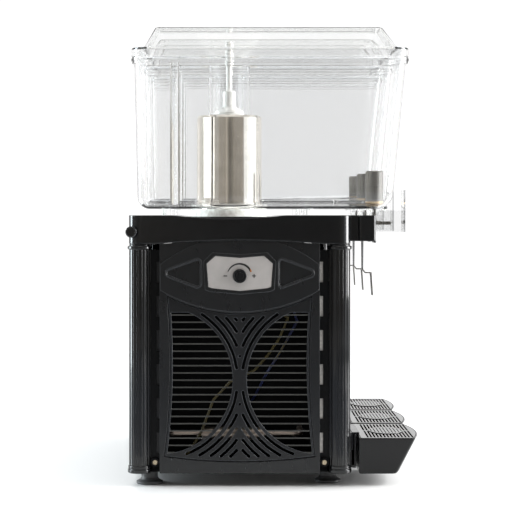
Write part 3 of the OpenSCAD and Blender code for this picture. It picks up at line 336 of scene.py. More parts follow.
def clear_moulding(name, colour, ior, cast, density):
    """Clear moulded plastic with a cast that grows with its thickness; lamps shine through it."""
    s = Surface(name)
    s.cloudy(s.grain(9, 2, (1, 1, 0.4)), colour, 0.996, 1.0)
    s.gloss(s.grain(60, 3), 0.0, 0.003)
    s.set(IOR=ior, Transmission_Weight=1.0)
    inside = s.node("ShaderNodeVolumeAbsorption")
    inside.inputs["Color"].default_value = (*cast, 1)
    inside.inputs["Density"].default_value = density
    s.join(inside, "Volume", s.out, "Volume")
    lamp = s.node("ShaderNodeLightPath")
    through = s.node("ShaderNodeBsdfTransparent")
    through.inputs["Color"].default_value = LAMP_TINT
    both = s.node("ShaderNodeMixShader")
    s.join(lamp, "Is Shadow Ray", both, 0)
    s.join(s.shader, "BSDF", both, 1)
    s.join(through, "BSDF", both, 2)
    s.join(both, 0, s.out, "Surface")
    return s.material


def soft_rubber(name, colour, rough):
    """Rubber with a dusty bloom."""
    s = Surface(name)
    bloom = s.grain(160, 4)
    s.cloudy(bloom, colour, 0.8, 1.25)
    s.gloss(bloom, rough - 0.08, rough + 0.1)
    s.relief(s.grain(1400, 2), 0.3, 0.00008)
    return s.set(IOR=1.5).material


def painted(name, colour, rough, gleam=0.5):
    """Stove enamel with a light orange peel."""
    s = Surface(name)
    cloud = s.grain(60, 3)
    s.cloudy(cloud, colour, 0.8, 1.25)
    s.gloss(cloud, rough - 0.06, rough + 0.08)
    s.relief(s.grain(420, 1), 0.25, 0.00012)
    return s.set(IOR=1.5, Specular_IOR_Level=gleam).material


def white_moulding(name, colour):
    """Milky white moulding that lets a little light in."""
    s = Surface(name)
    cloud = s.grain(70, 3)
    s.cloudy(cloud, colour, 0.95, 1.03)
    s.gloss(cloud, 0.28, 0.42)
    s.relief(s.grain(900, 2), 0.15, 0.00006)
    return s.set(IOR=1.49, Subsurface_Weight=0.2, Subsurface_Radius=(0.004, 0.004, 0.004)).material


def banded(name, axis, start, end, inside, outside, rough, metal=0.0):
    """A second colour between two places along one axis, such as one of two leads or a dial's hot end."""
    s = Surface(name)
    split = s.axes()
    after = s.spread(split, axis, 0.0, 1.0, start - BAND_FADE, start + BAND_FADE)
    before = s.spread(split, axis, 1.0, 0.0, end - BAND_FADE, end + BAND_FADE)
    cloud = s.grain(300, 3)
    tone_in = s.blend(cloud, "Fac", scaled(inside, 0.85), scaled(inside, 1.1))
    tone_out = s.blend(cloud, "Fac", scaled(outside, 0.85), scaled(outside, 1.1))
    both = s.mix(s.times(after, before), "Value", (tone_out, "Color"), (tone_in, "Color"))
    s.join(both, MIX_OUT, s.shader, "Base Color")
    s.gloss(cloud, rough - 0.06, rough + 0.06)
    return s.set(IOR=1.5, Metallic=metal).material


def grille_moulding(name, colour, bar_highlight, plane, radius):
    """Satin moulding of the side grilles with a painted highlight on its edges; the cross bars behind the
    plane have a painted highlight on their fronts.
    """
    s = Surface(name)
    tone = s.blend(s.grain(28, 3), "Fac", scaled(colour, 0.84), scaled(colour, 1.2))
    bevel, mask = s.rounded_edges(radius)
    edges_worn_and_lit = s.mix(mask, "Result", (tone, "Color"), scaled(colour, GRILLE_EDGE_HIGHLIGHT))
    out = s.unsigned(s.axes(), "X")
    band = plane - BAR_BAND
    behind = s.spread(out, "Value", 1.0, 0.0, plane - BAR_FADE, plane + BAR_FADE)
    ahead = s.spread(out, "Value", 0.0, 1.0, band - BAR_FADE, band + BAR_FADE)
    face = s.node("ShaderNodeSeparateXYZ")
    s.join(s.node("ShaderNodeNewGeometry"), "True Normal", face, "Vector")
    facing = s.spread(s.unsigned(face, "X"), "Value", 0.0, 1.0, 0.85, 0.95)
    front = s.times(s.times(behind, ahead), facing)
    bar_highlight_tone = s.blend(s.grain(240, 3), "Fac", scaled(bar_highlight, 0.85), scaled(bar_highlight, 1.1))
    shown = s.mix(front, "Value", (edges_worn_and_lit, MIX_OUT), (bar_highlight_tone, "Color"))
    s.join(shown, MIX_OUT, s.shader, "Base Color")
    s.gloss(s.grain(90, 4), 0.28, 0.4)
    s.relief(s.grain(1700, 2), 0.35, 0.00006, (bevel, "Normal"))
    return s.set(IOR=1.5, Specular_IOR_Level=0.40).material


def wear(material, *names):
    """Puts a finish on CAD nodes."""
    for name in names:
        mesh = NODES[name].data
        mesh.materials.clear()
        mesh.materials.append(material)


def each_tank(stem):
    return [f"{stem}_{k}" for k in TANKS]


def new_piece(name, mesh, body, node, material):
    """A mesh in the row frame that stands for a CAD node."""
    piece = bpy.data.objects.new(name, mesh)
    bpy.context.scene.collection.objects.link(piece)
    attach(piece, body)
    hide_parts(node)
    mesh.materials.clear()
    mesh.materials.append(material)
    return piece


def rounded_ring(corners, bend=8):
    """Points round four (x, y, radius, z) corners, seen from above anticlockwise from the rear right one."""
    points = []
    for i, (x, y, r, z) in enumerate(corners):
        for j in range(bend + 1):
            a = math.radians(90 * (i + j / bend))
            points.append((x + r * math.cos(a), y + r * math.sin(a), z))
    return points


def even_ring(x, rear, front, radius, z):
    """A rounded rectangle with corner centres at plus and minus x, rear and front."""
    places = ((x, rear), (-x, rear), (-x, front), (x, front))
    return rounded_ring([(*place, radius, z) for place in places])


def loft(rings):
    """A closed mesh through rings of equal count, capped at both ends."""
    n = len(rings[0])
    faces = [tuple(reversed(range(n)))]
    for i in range(len(rings) - 1):
        for j in range(n):
            k = (j + 1) % n
            faces.append((i * n + j, i * n + k, (i + 1) * n + k, (i + 1) * n + j))
    faces.append(tuple(range((len(rings) - 1) * n, len(rings) * n)))
    mesh = bpy.data.meshes.new("loft")
    mesh.from_pydata([p for ring in rings for p in ring], [], faces)
    return mesh


def turned(radius, low, high, place, sides=48):
    """An upright cylinder."""
    rings = []
    for z in (low, high):
        rings.append([(place[0] + radius * math.cos(2 * math.pi * i / sides),
                       place[1] + radius * math.sin(2 * math.pi * i / sides), z) for i in range(sides)])
    return loft(rings)


def block(low, high):
    """A straight block between two corners."""
    rings = [[(high[0], high[1], z), (low[0], high[1], z), (low[0], low[1], z), (high[0], low[1], z)]
             for z in (low[2], high[2])]
    return loft(rings)


def carve(mesh, steps):
    """Joins or cuts other meshes into this one in order; steps are (operation, mesh)."""
    scene = bpy.context.scene
    work = bpy.data.objects.new("carve_work", mesh)
    scene.collection.objects.link(work)
    tools = []
    for operation, tool in steps:
        other = bpy.data.objects.new("carve_tool", tool)
        scene.collection.objects.link(other)
        tools.append(other)
        modifier = work.modifiers.new("carve", "BOOLEAN")
        modifier.operation = operation
        modifier.solver = "EXACT"
        modifier.object = other
    depsgraph = bpy.context.evaluated_depsgraph_get()
    made = bpy.data.meshes.new_from_object(work.evaluated_get(depsgraph))
    for obj in [work, *tools]:
        bpy.data.objects.remove(obj)
    return made


def smoothed(mesh, angle=32):
    """Round faces shade smoothly and edges sharper than the angle stay crisp."""
    for polygon in mesh.polygons:
        polygon.use_smooth = True
    mesh.set_sharp_from_angle(angle=math.radians(angle))
    return mesh


def shifted(mesh, x, y):
    """A copy of a mesh moved across."""
    copy = mesh.copy()
    for vertex in copy.vertices:
        vertex.co.x += x
        vertex.co.y += y
    return copy


def set_in_row(kinds, material):
    """Copies of meshes at each tank's place; kinds are (stem of the piece, stem of its CAD node, mesh)."""
    for k in TANKS:
        for stem, node, mesh in kinds:
            copy = shifted(mesh, TANK_PITCH * (k - 2), SET_BACK)
            piece = new_piece(f"{stem}_{k}", copy, f"{node}_{k}", f"{node}_{k}", material)
            # large flat faces keep flat normals beside their rounded edges
            modifier = piece.modifiers.new("normals", "WEIGHTED_NORMAL")
            modifier.keep_sharp = True


class DISPENSER_OT_cabinet(bpy.types.Operator):
    """Finish the cabinet: columns, deck, panels, grilles, feet and fasteners"""

    bl_idname = "dispenser.cabinet"
    bl_label = "Cabinet"

    def execute(self, context):
        f = context.scene.dispenser_finishes
        deck = scaled(f.gloss_black, 0.85)
        gloss = {"rough": 0.12, "grain": 900, "depth": 0.00002, "gleam": 0.46}
        satin = {"grain": 1700, "depth": 0.00006}
        # every moulding's edges are painted lighter, partly as wear and partly as a painted highlight,
        # strongest on the panels
        wear(moulded("gloss_black", deck, radius=f.edge_radius, **gloss), "column_collars", "deck_side_plugs")
        wear(moulded("deck_black", deck, radius=2.3 * f.edge_radius, edge_wear_and_highlight=1.6, **gloss), "deck")
        wear(moulded("column_black", scaled(f.gloss_black, 0.6), rough=0.06, grain=900, depth=0.000005,
                     radius=0.0004, edge_wear_and_highlight=1.2), "corner_columns")
        wear(moulded("satin_black", f.satin_black, rough=0.30, radius=f.edge_radius, edge_wear_and_highlight=9.0,
                     gleam=0.46, **satin),
             "left_side_panel", "right_side_panel", "front_panel", "rear_panel", "tray_rail", "cable_gland")
        # the slotted strips are painted darker than the panels, as the shade of their recess
        wear(moulded("strip_painted_shade", scaled(f.satin_black, 0.4), rough=0.42, radius=0.0006, edge_wear_and_highlight=1.5,
                     gleam=0.16, **satin), "slot_strips")
        front = max(abs(v.x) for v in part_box("side_grilles"))
        # the grille's edges and the fronts of its cross bars carry a painted highlight
        wear(grille_moulding("grille_black", f.satin_black, f.bar_highlight, front - BAR_STEP, f.edge_radius),
             "side_grilles")
        # the rear posts get a painted shade, the front posts keep their bare steel
        wear(banded("post_steel_and_painted_shade", "Y", SET_BACK, 1.0, REAR_POST_PAINTED_SHADE, f.post, 0.42, 0.2), "chassis_posts")
        wear(brushed("screw_steel", SCREW_STEEL, 0.34, 900, (1, 1, 1)), "panel_screws")
        # base pan and air baffle are painted near black as the shade inside the cabinet
        wear(painted("inside_painted_shade", INSIDE_PAINTED_SHADE, 0.8, 0.12), "base_pan", "air_baffle")
        wear(soft_rubber("foot_rubber", FOOT_RUBBER, 0.5), "feet")
        return {"FINISHED"}


class DISPENSER_OT_control(bpy.types.Operator):
    """Finish the thermostat: plate, dial marks, knob and body"""

    bl_idname = "dispenser.control"
    bl_label = "Thermostat"

    def execute(self, context):
        f = context.scene.dispenser_finishes
        wear(brushed("plate_aluminium", f.plate, 0.5, 900, (1, 0.05, 1), 0.06, 0.35), "control_plate")
        lo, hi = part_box("dial_marks")
        middle = (lo.y + hi.y) / 2
        wear(banded("dial_print", "Y", middle - DIAL_HOT_START, middle - DIAL_HOT_END,
                    DIAL_ORANGE, DIAL_INK, 0.5), "dial_marks")
        wear(moulded("knob_black", f.satin_black, rough=0.3, grain=1500, depth=0.00005, radius=f.edge_radius,
                     gleam=0.25), "thermostat_knob", "thermostat_body")
        return {"FINISHED"}


class DISPENSER_OT_cooling(bpy.types.Operator):
    """Finish the machinery behind the grilles: compressor, condenser, fan, pipes, motors and leads"""

    bl_idname = "dispenser.cooling"
    bl_label = "Cooling machinery"

    def execute(self, context):
        f = context.scene.dispenser_finishes
        wear(painted("motor_enamel", MOTOR_ENAMEL, 0.35), "compressor", "fan_motor", "drive_motors")
        wear(brushed("fin_aluminium", FIN_ALUMINIUM, 0.38, 1200, (1, 1, 0.05)), "condenser", "fan")
        wear(brushed("pipe_copper", f.copper, 0.34, 500, (1, 1, 1)), "refrigerant_pipes")
        # both leads keep their own hues, darkened by a painted shade of the cabinet's inside
        wear(banded("lead_sheaths", "X", -1.0, LEAD_SPLIT, f.lead, BLUE_LEAD, 0.4), "wiring")
        return {"FINISHED"}


class DISPENSER_OT_coolers(bpy.types.Operator):
    """Finish the evaporator cylinders, their gaskets, pumps, risers and impellers"""

    bl_idname = "dispenser.coolers"
    bl_label = "Evaporators and pumps"

    def execute(self, context):
        f = context.scene.dispenser_finishes
        wear(brushed("polished_steel", f.polished, 0.09, 800, (1, 1, 0.02), 0.03), "evaporators")
        wear(soft_rubber("gasket_pale", f.gasket, 0.5), "evaporator_gaskets")
        wear(white_moulding("pump_white", f.white), "pump_housings", "riser_tubes", *each_tank("impeller"))
        return {"FINISHED"}


# a tank in the row's middle: foot, top, ends, corners and lean, with the tap's and the evaporator's place
TANK_Z, TANK_TOP = 0.418, 0.648
TANK_REAR, TANK_FRONT = 0.160, -0.2525
TANK_HALF, TOP_BEND, WALL = 0.080, 0.024, 0.003
REAR_BEND, FRONT_BEND = 0.018, 0.026
REAR_LEAN, FRONT_LEAN, SIDE_LEAN = 0.005, 0.018, 0.004
TAP_Y, EVAPORATOR_Y = -0.210, 0.016
RIM_HEIGHT = 0.010
# how far the rim stands out at each drop below the tank's top, from its underside up
RIM_STEPS = ((0.0029, RIM_HEIGHT), (0.0035, 0.0094), (0.0035, 0.0062), (0.0046, 0.006), (0.005, 0.0056),
             (0.005, 0.0024), (0.0046, 0.002), (0.0035, 0.0018), (0.0035, 0.0006), (0.0029, 0.0))
RIB_RADIUS, RIB_X, RIB_Y = 0.007, 0.074, TANK_REAR - 0.062
COLLAR_RADIUS, COLLAR_BORE = 0.055, 0.0511
PEG_RADIUS, PEG_PLACE = 0.0035, (0.040, -0.152)
SUMP_RADIUS, SUMP_BORE, TAP_HOLE = 0.020, 0.017, 0.009
FOOT_RADIUS, FOOT_X, FOOT_PLACES = 0.007, 0.058, (0.112, -0.105)


def tank_rings(inset):
    """Rings of the tank's outer or inner wall from the floor up to the rim's underside."""
    rings = []
    for step in range(8):
        a = math.radians(88 * (1 - step / 7))
        corners = []
        for side, rear in ((1, True), (-1, True), (-1, False), (1, False)):
            bend = REAR_BEND if rear else FRONT_BEND
            x = side * (TANK_HALF - SIDE_LEAN - bend)
            y = TANK_REAR - REAR_LEAN - bend if rear else TANK_FRONT + FRONT_LEAN + bend
            r = bend - inset
            corners.append((x, y, r * math.cos(a), TANK_Z + bend - r * math.sin(a)))
        rings.append(rounded_ring(corners))
    rings.append(rim_ring(-inset, TANK_TOP - RIM_HEIGHT))
    return rings


def rim_ring(out, z):
    """The tank's outline at its top, grown by out."""
    return even_ring(TANK_HALF - TOP_BEND, TANK_REAR - TOP_BEND, TANK_FRONT + TOP_BEND, TOP_BEND + out, z)


def from_foot(radius, low, high, place, sides=48):
    """An upright cylinder with heights above the tank's foot."""
    return turned(radius, TANK_Z + low, TANK_Z + high, place, sides)


def tank_mesh():
    """One clear tank: leaning walls with rounded foot, stepped rim, ribs, evaporator collar and tap sump."""
    outer = tank_rings(0.0) + [rim_ring(out, TANK_TOP - down) for out, down in RIM_STEPS]
    inner = tank_rings(WALL) + [rim_ring(-WALL, TANK_TOP + 0.004)]
    tap, evaporator = (0, TAP_Y), (0, EVAPORATOR_Y)
    rib_top = TANK_TOP - RIM_HEIGHT
    solid = [turned(RIB_RADIUS, TANK_Z - 0.002, rib_top, (side * RIB_X, RIB_Y), 32) for side in (-1, 1)]
    solid += [from_foot(COLLAR_RADIUS, -0.002, 0.009, evaporator, 72),
              from_foot(PEG_RADIUS, -0.002, 0.012, PEG_PLACE, 24)]
    hollow = carve(loft(inner), [("DIFFERENCE", part) for part in solid])
    steps = [("UNION", from_foot(SUMP_RADIUS, -0.002, 0.032, tap))]
    for side in (-1, 1):
        for y in FOOT_PLACES:
            steps.append(("UNION", from_foot(FOOT_RADIUS, -0.0096, 0.0015, (side * FOOT_X, y), 32)))
    steps += [("DIFFERENCE", hollow),
              ("DIFFERENCE", from_foot(COLLAR_BORE, -0.001, 0.029, evaporator, 72)),
              ("DIFFERENCE", from_foot(TAP_HOLE, -0.003, 0.017, tap)),
              ("DIFFERENCE", from_foot(SUMP_BORE, 0.0035, 0.0635, tap))]
    return smoothed(carve(loft(outer), steps))


# the lid's roof at its foot and ridge: half width, rear and front of the corner centres, corner radius
ROOF_FOOT = (0.060, 0.1335, -0.228, 0.012)
ROOF_RIDGE = (0.030, 0.123, -0.2125, 0.006)
# the lid's lip and skirt, measured out from the tank's outline, and how deep the lip hangs in the tank
LIP_IN, LIP_OUT, LIP_DROP = -0.0062, -0.004, 0.006
SKIRT_IN, SKIRT_OUT = 0.0014, 0.0044


def roof_ring(share, inset, z):
    """The lid's roof between its foot, share 0, and its ridge, share 1."""
    x, rear, front, bend = (foot + (ridge - foot) * share for foot, ridge in zip(ROOF_FOOT, ROOF_RIDGE))
    return even_ring(x, rear, front, bend - inset, z)


def lid_mesh():
    """One clear lid: skirt over the rim, lip inside the tank and a sloped roof."""
    low, shelf, top = TANK_TOP + 0.0004, TANK_TOP + 0.0139, TANK_TOP + 0.0489
    under, lip_foot = shelf - 0.003, TANK_TOP - LIP_DROP
    rings = [roof_ring(1.0, 0.0026, top - 0.0026), roof_ring(0.06, 0.0026, shelf + 0.0005),
             roof_ring(0.0, 0.0024, under), rim_ring(LIP_IN, under), rim_ring(LIP_IN, lip_foot),
             rim_ring(LIP_OUT, lip_foot), rim_ring(LIP_OUT, under), rim_ring(SKIRT_IN, under),
             rim_ring(SKIRT_IN, low), rim_ring(0.0038, low), rim_ring(SKIRT_OUT, low + 0.0006),
             rim_ring(SKIRT_OUT, shelf - 0.002), rim_ring(0.0039, shelf - 0.0006), rim_ring(0.0025, shelf),
             roof_ring(0.0, -0.0006, shelf), roof_ring(0.0, 0.0, shelf + 0.0004)]
    for share in (0.25, 0.5, 0.75, 0.95):
        rings.append(roof_ring(share, 0.0, shelf + (top - shelf) * share))
    rings += [roof_ring(0.985, 0.0005, top - 0.0007), roof_ring(1.0, 0.0022, top)]
    return smoothed(loft(rings), 24)


class DISPENSER_OT_tanks(bpy.types.Operator):
    """Finish the tap hoods and spray sleeves and make the clear tanks and lids"""

    bl_idname = "dispenser.tanks"
    bl_label = "Tanks and lids"

    def execute(self, context):
        f = context.scene.dispenser_finishes
        clear = clear_moulding("clear_moulding", f.clear, f.clear_ior, TANK_CAST, TANK_DENSITY)
        hood = clear_moulding("clear_hood", f.clear, f.clear_ior, HOOD_CAST, HOOD_DENSITY)
        wear(clear, "spray_sleeves")
        wear(hood, *each_tank("spout"))
        for name in each_tank("spout"):
            edges = NODES[name].modifiers.new("edges", "BEVEL")
            edges.width = 0.0012
            edges.segments = 3
            edges.limit_method = "ANGLE"
            edges.angle_limit = math.radians(50)
        set_in_row([("clear_tank", "tank", tank_mesh()), ("clear_lid", "lid", lid_mesh())], clear)
        return {"FINISHED"}


class DISPENSER_OT_taps(bpy.types.Operator):
    """Finish the tap pistons, their seals and the levers"""

    bl_idname = "dispenser.taps"
    bl_label = "Taps"

    def execute(self, context):
        f = context.scene.dispenser_finishes
        wear(brushed("piston_steel", scaled(f.brushed, 0.36), 0.34, 900, (1, 1, 0.03)), *each_tank("piston"))
        wear(brushed("lever_steel", scaled(f.brushed, 0.5), 0.26, 900, (1, 1, 0.03)), *each_tank("lever"))
        wear(soft_rubber("seal_tan", f.seal, 0.5), *each_tank("piston_seal"))
        return {"FINISHED"}


# the middle drip tray: rear wall, depth, width, foot, top, corner radius and bow of the front
TRAY_BACK, TRAY_DEPTH, TRAY_WIDTH = -0.180, 0.095, 0.170
TRAY_Z, TRAY_TOP = 0.018, 0.073
TRAY_BEND, TRAY_BOW = 0.006, 0.011
# a front corner turns by 75 degrees: 1 less the cosine of that, and its sine
CORNER_TURN, CORNER_SPAN, CORNER_RISE = 75, 0.741, 0.966
# how much narrower the tray is at its foot, and how far its front leans
TRAY_TAPER, TRAY_LEAN = 0.012, 0.028
HOOK_HALF, HOOK_REAR, HOOK_TOP = 0.048, -0.1713, 0.077


def tray_ring(width, back, front, z):
    """Plan of a tray: straight sides, small corners and a bowed front."""
    half = width / 2
    end = half - CORNER_SPAN * TRAY_BEND
    middle = front + TRAY_BOW * (end / half) ** 2 + CORNER_RISE * TRAY_BEND

    def corner(x, start):
        turns = [math.radians(start + CORNER_TURN * i / 8) for i in range(9)]
        return [(x + TRAY_BEND * math.cos(a), middle + TRAY_BEND * math.sin(a), z) for a in turns]

    across = [end * (i / 15 - 1) for i in range(1, 30)]
    bowed = [(x, front + TRAY_BOW * (x / half) ** 2, z) for x in across]
    rear = [(half, back, z), (-half, back, z)]
    return rear + corner(-half + TRAY_BEND, 180) + bowed + corner(half - TRAY_BEND, 285)


def tray_section(share, inset, z):
    """Tray plan between its foot, share 0, and its brim, share 1."""
    width = TRAY_WIDTH - TRAY_TAPER * (1 - share) - 2 * inset
    front = TRAY_BACK - TRAY_DEPTH + TRAY_LEAN * (1 - share) + inset
    return tray_ring(width, TRAY_BACK - inset, front, z)


def tray_mesh():
    """One drip tray: leaning walls, rounded foot and brim, a ledge for the grid and the hook for the rail."""
    height = TRAY_TOP - TRAY_Z
    rings = [tray_section(0.0, 0.003, TRAY_Z), tray_section(0.01, 0.0012, TRAY_Z + 0.0006),
             tray_section(0.03, 0.0003, TRAY_Z + 0.0018), tray_section(0.06, 0.0, TRAY_Z + 0.0033)]
    for share in (0.25, 0.5, 0.75, 0.97):
        rings.append(tray_section(share, 0.0, TRAY_Z + height * share))
    rings += [tray_section(1.0, 0.0004, TRAY_TOP - 0.0005), tray_section(1.0, 0.0010, TRAY_TOP),
              tray_section(1.0, 0.0020, TRAY_TOP), tray_section(1.0, 0.0026, TRAY_TOP - 0.0006),
              tray_section(1.0, 0.0026, TRAY_TOP - 0.0034), tray_section(0.95, 0.0056, TRAY_TOP - 0.0034),
              tray_section(0.06, 0.0056, TRAY_Z + 0.0045), tray_section(0.0, 0.0080, TRAY_Z + 0.0026)]
    hook = [block((-HOOK_HALF, -0.1737, 0.050), (HOOK_HALF, HOOK_REAR, HOOK_TOP)),
            block((-HOOK_HALF, -0.181, 0.0745), (HOOK_HALF, HOOK_REAR, HOOK_TOP)),
            block((-HOOK_HALF, -0.1826, 0.065), (HOOK_HALF, -0.180, HOOK_TOP))]
    return smoothed(carve(loft(rings), [("UNION", part) for part in hook]), 35)


class DISPENSER_OT_trays(bpy.types.Operator):
    """Finish the drip grids and make the drip trays"""

    bl_idname = "dispenser.trays"
    bl_label = "Drip trays"

    def execute(self, context):
        f = context.scene.dispenser_finishes
        black = moulded("tray_black", scaled(f.gloss_black, 0.7), rough=0.15, grain=900, depth=0.00002,
                        radius=f.edge_radius, gleam=0.28)
        wear(moulded("grid_black", scaled(f.gloss_black, 0.5), rough=0.07, grain=700, depth=0.000004,
                     radius=0.0003, edge_wear_and_highlight=1.0, gleam=0.75), *each_tank("drip_grid"))
        set_in_row([("moulded_tray", "drip_tray", tray_mesh())], black)
        return {"FINISHED"}


def plain_board(name, corners, material):
    """A flat board of four corners that belongs to the studio."""
    mesh = bpy.data.meshes.new(name)
    mesh.from_pydata(corners, [], [(0, 1, 2, 3)])
    board = bpy.data.objects.new(name, mesh)
    mesh.materials.append(material)
    bpy.context.scene.collection.objects.link(board)
    return board


def box_light(name, power, width, height, place, target, colour=(1, 1, 1), seen_through=False):
    """A rectangular lamp that the camera doesn't see; clear mouldings show it only if seen_through is set."""
    lamp = bpy.data.lights.new(name, "AREA")
    lamp.shape = "RECTANGLE"
    lamp.size = width
    lamp.size_y = height
    lamp.energy = power
    lamp.color = colour
    obj = bpy.data.objects.new(name, lamp)
    obj.location = place
    obj.rotation_euler = (Vector(target) - Vector(place)).to_track_quat("-Z", "Y").to_euler()
    obj.visible_camera = False
    obj.visible_transmission = seen_through
    bpy.context.scene.collection.objects.link(obj)


# how far the picture is shifted against the lens, as a share of its width
LENS_SHIFT_X, LENS_SHIFT_Y = 25.0 / 512, -42.0 / 512
# shades of the card's folds from its front end to its rear end, as (share of the way, factor on its colour)
CARD_ENDS = (1.5, 1.25)
CARD_FOLDS = ((0.30, 1.2), (0.52, 0.55), (0.60, 0.35), (0.66, 0.8), (0.70, 1.7), (0.73, 0.9))
CARD_X, CARD_FRONT, CARD_REAR, CARD_TOP = -3.6, -4.0, 2.6, 3.0
FLOOR_REACH = 9
# boards seen only in gloss and through clear pieces: material, board, darker and lighter shade, corners
BOARDS = (
    ("grey_mat", "mat", (0.21, 0.225, 0.255), (0.25, 0.265, 0.30),
     ((-2.6, -1.3, 0.002), (-0.55, -1.3, 0.002), (-0.55, 1.4, 0.002), (-2.6, 1.4, 0.002))),
    ("pale_wall", "pale_wall", (0.92, 0.92, 0.90), (0.96, 0.96, 0.94),
     ((-1.45, 1.72, 0.45), (0.25, 2.3, 0.45), (0.25, 2.3, 1.7), (-1.45, 1.72, 1.7))),
    ("beige_flag", "flag", (0.26, 0.255, 0.23), (0.31, 0.30, 0.275),
     ((-1.1, -0.9, 2.0), (0.9, -0.9, 2.0), (0.9, 0.9, 2.0), (-1.1, 0.9, 2.0))),
)
REAR_LIGHT = (0.86, 0.95, 1.0)
FRONT_LIGHT = (0.88, 0.94, 1.0)


def set_camera(scene, studio):
    """A level camera that looks along X."""
    lens = bpy.data.cameras.new("camera")
    lens.lens = studio.lens
    lens.sensor_width = 36.0
    lens.shift_x = LENS_SHIFT_X
    lens.shift_y = LENS_SHIFT_Y
    camera = bpy.data.objects.new("camera", lens)
    camera.location = (studio.camera_x, studio.camera_y, studio.camera_z)
    camera.rotation_euler = (math.radians(90), 0, math.radians(-90))
    scene.collection.objects.link(camera)
    scene.camera = camera


def lay_floor(colour):
    """A pale floor that glows more the further it lies behind the dispenser."""
    s = Surface("studio_floor")
    s.cloudy(s.grain(3, 2), colour, 0.995, 1.0)
    s.set(Roughness=0.32, Specular_IOR_Level=0.3, Emission_Color=(1, 1, 1, 1))
    glow = s.spread(s.axes(), "X", 0.0, 0.42, 0.25, 2.4)
    s.join(glow, "Result", s.shader, "Emission Strength")
    r = FLOOR_REACH
    plain_board("floor", [(-r, -r, 0), (r, -r, 0), (r, r, 0), (-r, r, 0)], s.material)


def hang_card(colour):
    """A dark card behind the camera, with folds that the glossy pieces mirror as bands."""
    s = Surface("dark_card")
    folds = s.spread(s.axes(), "Y", 0.0, 1.0, CARD_FRONT, CARD_REAR)
    tone = s.node("ShaderNodeValToRGB")
    for element, by in zip(tone.color_ramp.elements, CARD_ENDS):
        element.color = (*scaled(colour, by), 1)
    for place, by in CARD_FOLDS:
        tone.color_ramp.elements.new(place).color = (*scaled(colour, by), 1)
    s.join(folds, "Result", tone, "Fac")
    s.join(tone, "Color", s.shader, "Base Color")
    s.set(Roughness=0.9)
    board = plain_board("card", [(CARD_X, CARD_FRONT, 0.0), (CARD_X, CARD_REAR, 0.0),
                                 (CARD_X, CARD_REAR, CARD_TOP), (CARD_X, CARD_FRONT, CARD_TOP)], s.material)
    board.visible_camera = False
    board.visible_shadow = False


def hang_boards():
    """The boards that are seen only in gloss and through clear pieces."""
    for material, name, dark, light, corners in BOARDS:
        s = Surface(material)
        tone = s.blend(s.grain(2, 2), "Fac", dark, light)
        s.join(tone, "Color", s.shader, "Base Color")
        s.set(Roughness=0.9)
        board = plain_board(name, corners, s.material)
        board.visible_camera = False
        board.visible_shadow = False
        board.visible_diffuse = False


def light_room(scene, strength, colour):
    """A room that is white ahead of the camera and overhead and duller elsewhere."""
    world = bpy.data.worlds.new("room")
    world.use_nodes = True
    tree = world.node_tree
    light = tree.nodes["Background"]
    light.inputs["Strength"].default_value = strength
    way = tree.nodes.new("ShaderNodeTexCoord")
    split = tree.nodes.new("ShaderNodeSeparateXYZ")
    ramp = tree.nodes.new("ShaderNodeValToRGB")
    dull, bright = ramp.color_ramp.elements
    dull.position = 0.25
    dull.color = (*colour, 1)
    bright.position = 0.75
    bright.color = (1, 1, 1, 1)
    high = tree.nodes.new("ShaderNodeMath")
    high.operation = "SUBTRACT"
    high.inputs[1].default_value = 0.18
    wide = tree.nodes.new("ShaderNodeMath")
    wide.operation = "MAXIMUM"
    tree.links.new(way.outputs["Generated"], split.inputs["Vector"])
    tree.links.new(split.outputs["Z"], high.inputs[0])
    tree.links.new(split.outputs["X"], wide.inputs[0])
    tree.links.new(high.outputs[0], wide.inputs[1])
    tree.links.new(wide.outputs[0], ramp.inputs["Fac"])
    tree.links.new(ramp.outputs["Color"], light.inputs["Color"])
    scene.world = world


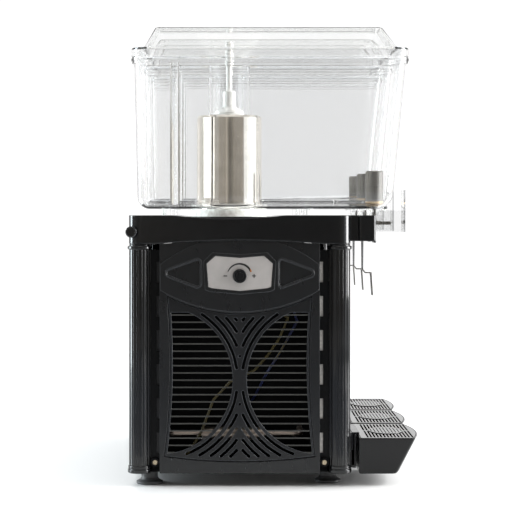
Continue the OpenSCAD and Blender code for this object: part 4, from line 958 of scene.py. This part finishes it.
class DISPENSER_OT_studio(bpy.types.Operator):
    """Set up the camera, the pale floor, the boards and the soft lights"""

    bl_idname = "dispenser.studio"
    bl_label = "Studio"

    def execute(self, context):
        scene = context.scene
        s = scene.dispenser_studio
        set_camera(scene, s)
        lay_floor(s.floor)
        hang_card(s.card)
        hang_boards()
        light_room(scene, s.sky, s.room)
        box_light("top_light", s.key, 2.0, 2.4, (-0.4, 0.0, 2.5), (0, 0.05, 0.3))
        box_light("rear_strip", s.strip, 0.7, 1.7, (0.05, 2.0, 0.75), (-0.1, 0.05, 0.45), REAR_LIGHT)
        box_light("front_strip", s.spark, 1.1, 1.6, (-0.22, -1.92, 0.95), (-0.2, 0.0, 0.4))
        box_light("front_box", s.wall, 2.4, 1.8, (-0.45, -2.0, 0.9), (-0.2, 0.05, 0.45), FRONT_LIGHT, True)
        scene.view_settings.view_transform = "Standard"
        scene.cycles.max_bounces = 28
        scene.cycles.transmission_bounces = 26
        scene.cycles.transparent_max_bounces = 24
        scene.cycles.glossy_bounces = 6
        return {"FINISHED"}


STEPS = ("cabinet", "control", "cooling", "coolers", "tanks", "taps", "trays", "studio")


class DISPENSER_PT_panel(bpy.types.Panel):
    """Sidebar panel with the finishes and the steps"""

    bl_idname = "DISPENSER_PT_panel"
    bl_label = "Drink dispenser"
    bl_space_type = "VIEW_3D"
    bl_region_type = "UI"
    bl_category = "Dispenser"

    def draw(self, context):
        column = self.layout.column()
        for group in (context.scene.dispenser_finishes, context.scene.dispenser_studio):
            for name in group.__annotations__:
                column.prop(group, name)
        for step in STEPS:
            column.operator(f"dispenser.{step}")


CLASSES = (DispenserFinishes, DispenserStudio, DISPENSER_OT_cabinet, DISPENSER_OT_control,
           DISPENSER_OT_cooling, DISPENSER_OT_coolers, DISPENSER_OT_tanks, DISPENSER_OT_taps,
           DISPENSER_OT_trays, DISPENSER_OT_studio, DISPENSER_PT_panel)


def register():
    for cls in CLASSES:
        bpy.utils.register_class(cls)
    bpy.types.Scene.dispenser_finishes = PointerProperty(type=DispenserFinishes)
    bpy.types.Scene.dispenser_studio = PointerProperty(type=DispenserStudio)


def unregister():
    del bpy.types.Scene.dispenser_studio
    del bpy.types.Scene.dispenser_finishes
    for cls in reversed(CLASSES):
        bpy.utils.unregister_class(cls)


def main():
    register()
    for step in STEPS:
        getattr(bpy.ops.dispenser, step)()
    bpy.context.view_layer.update()


if __name__ == "__main__":
    main()
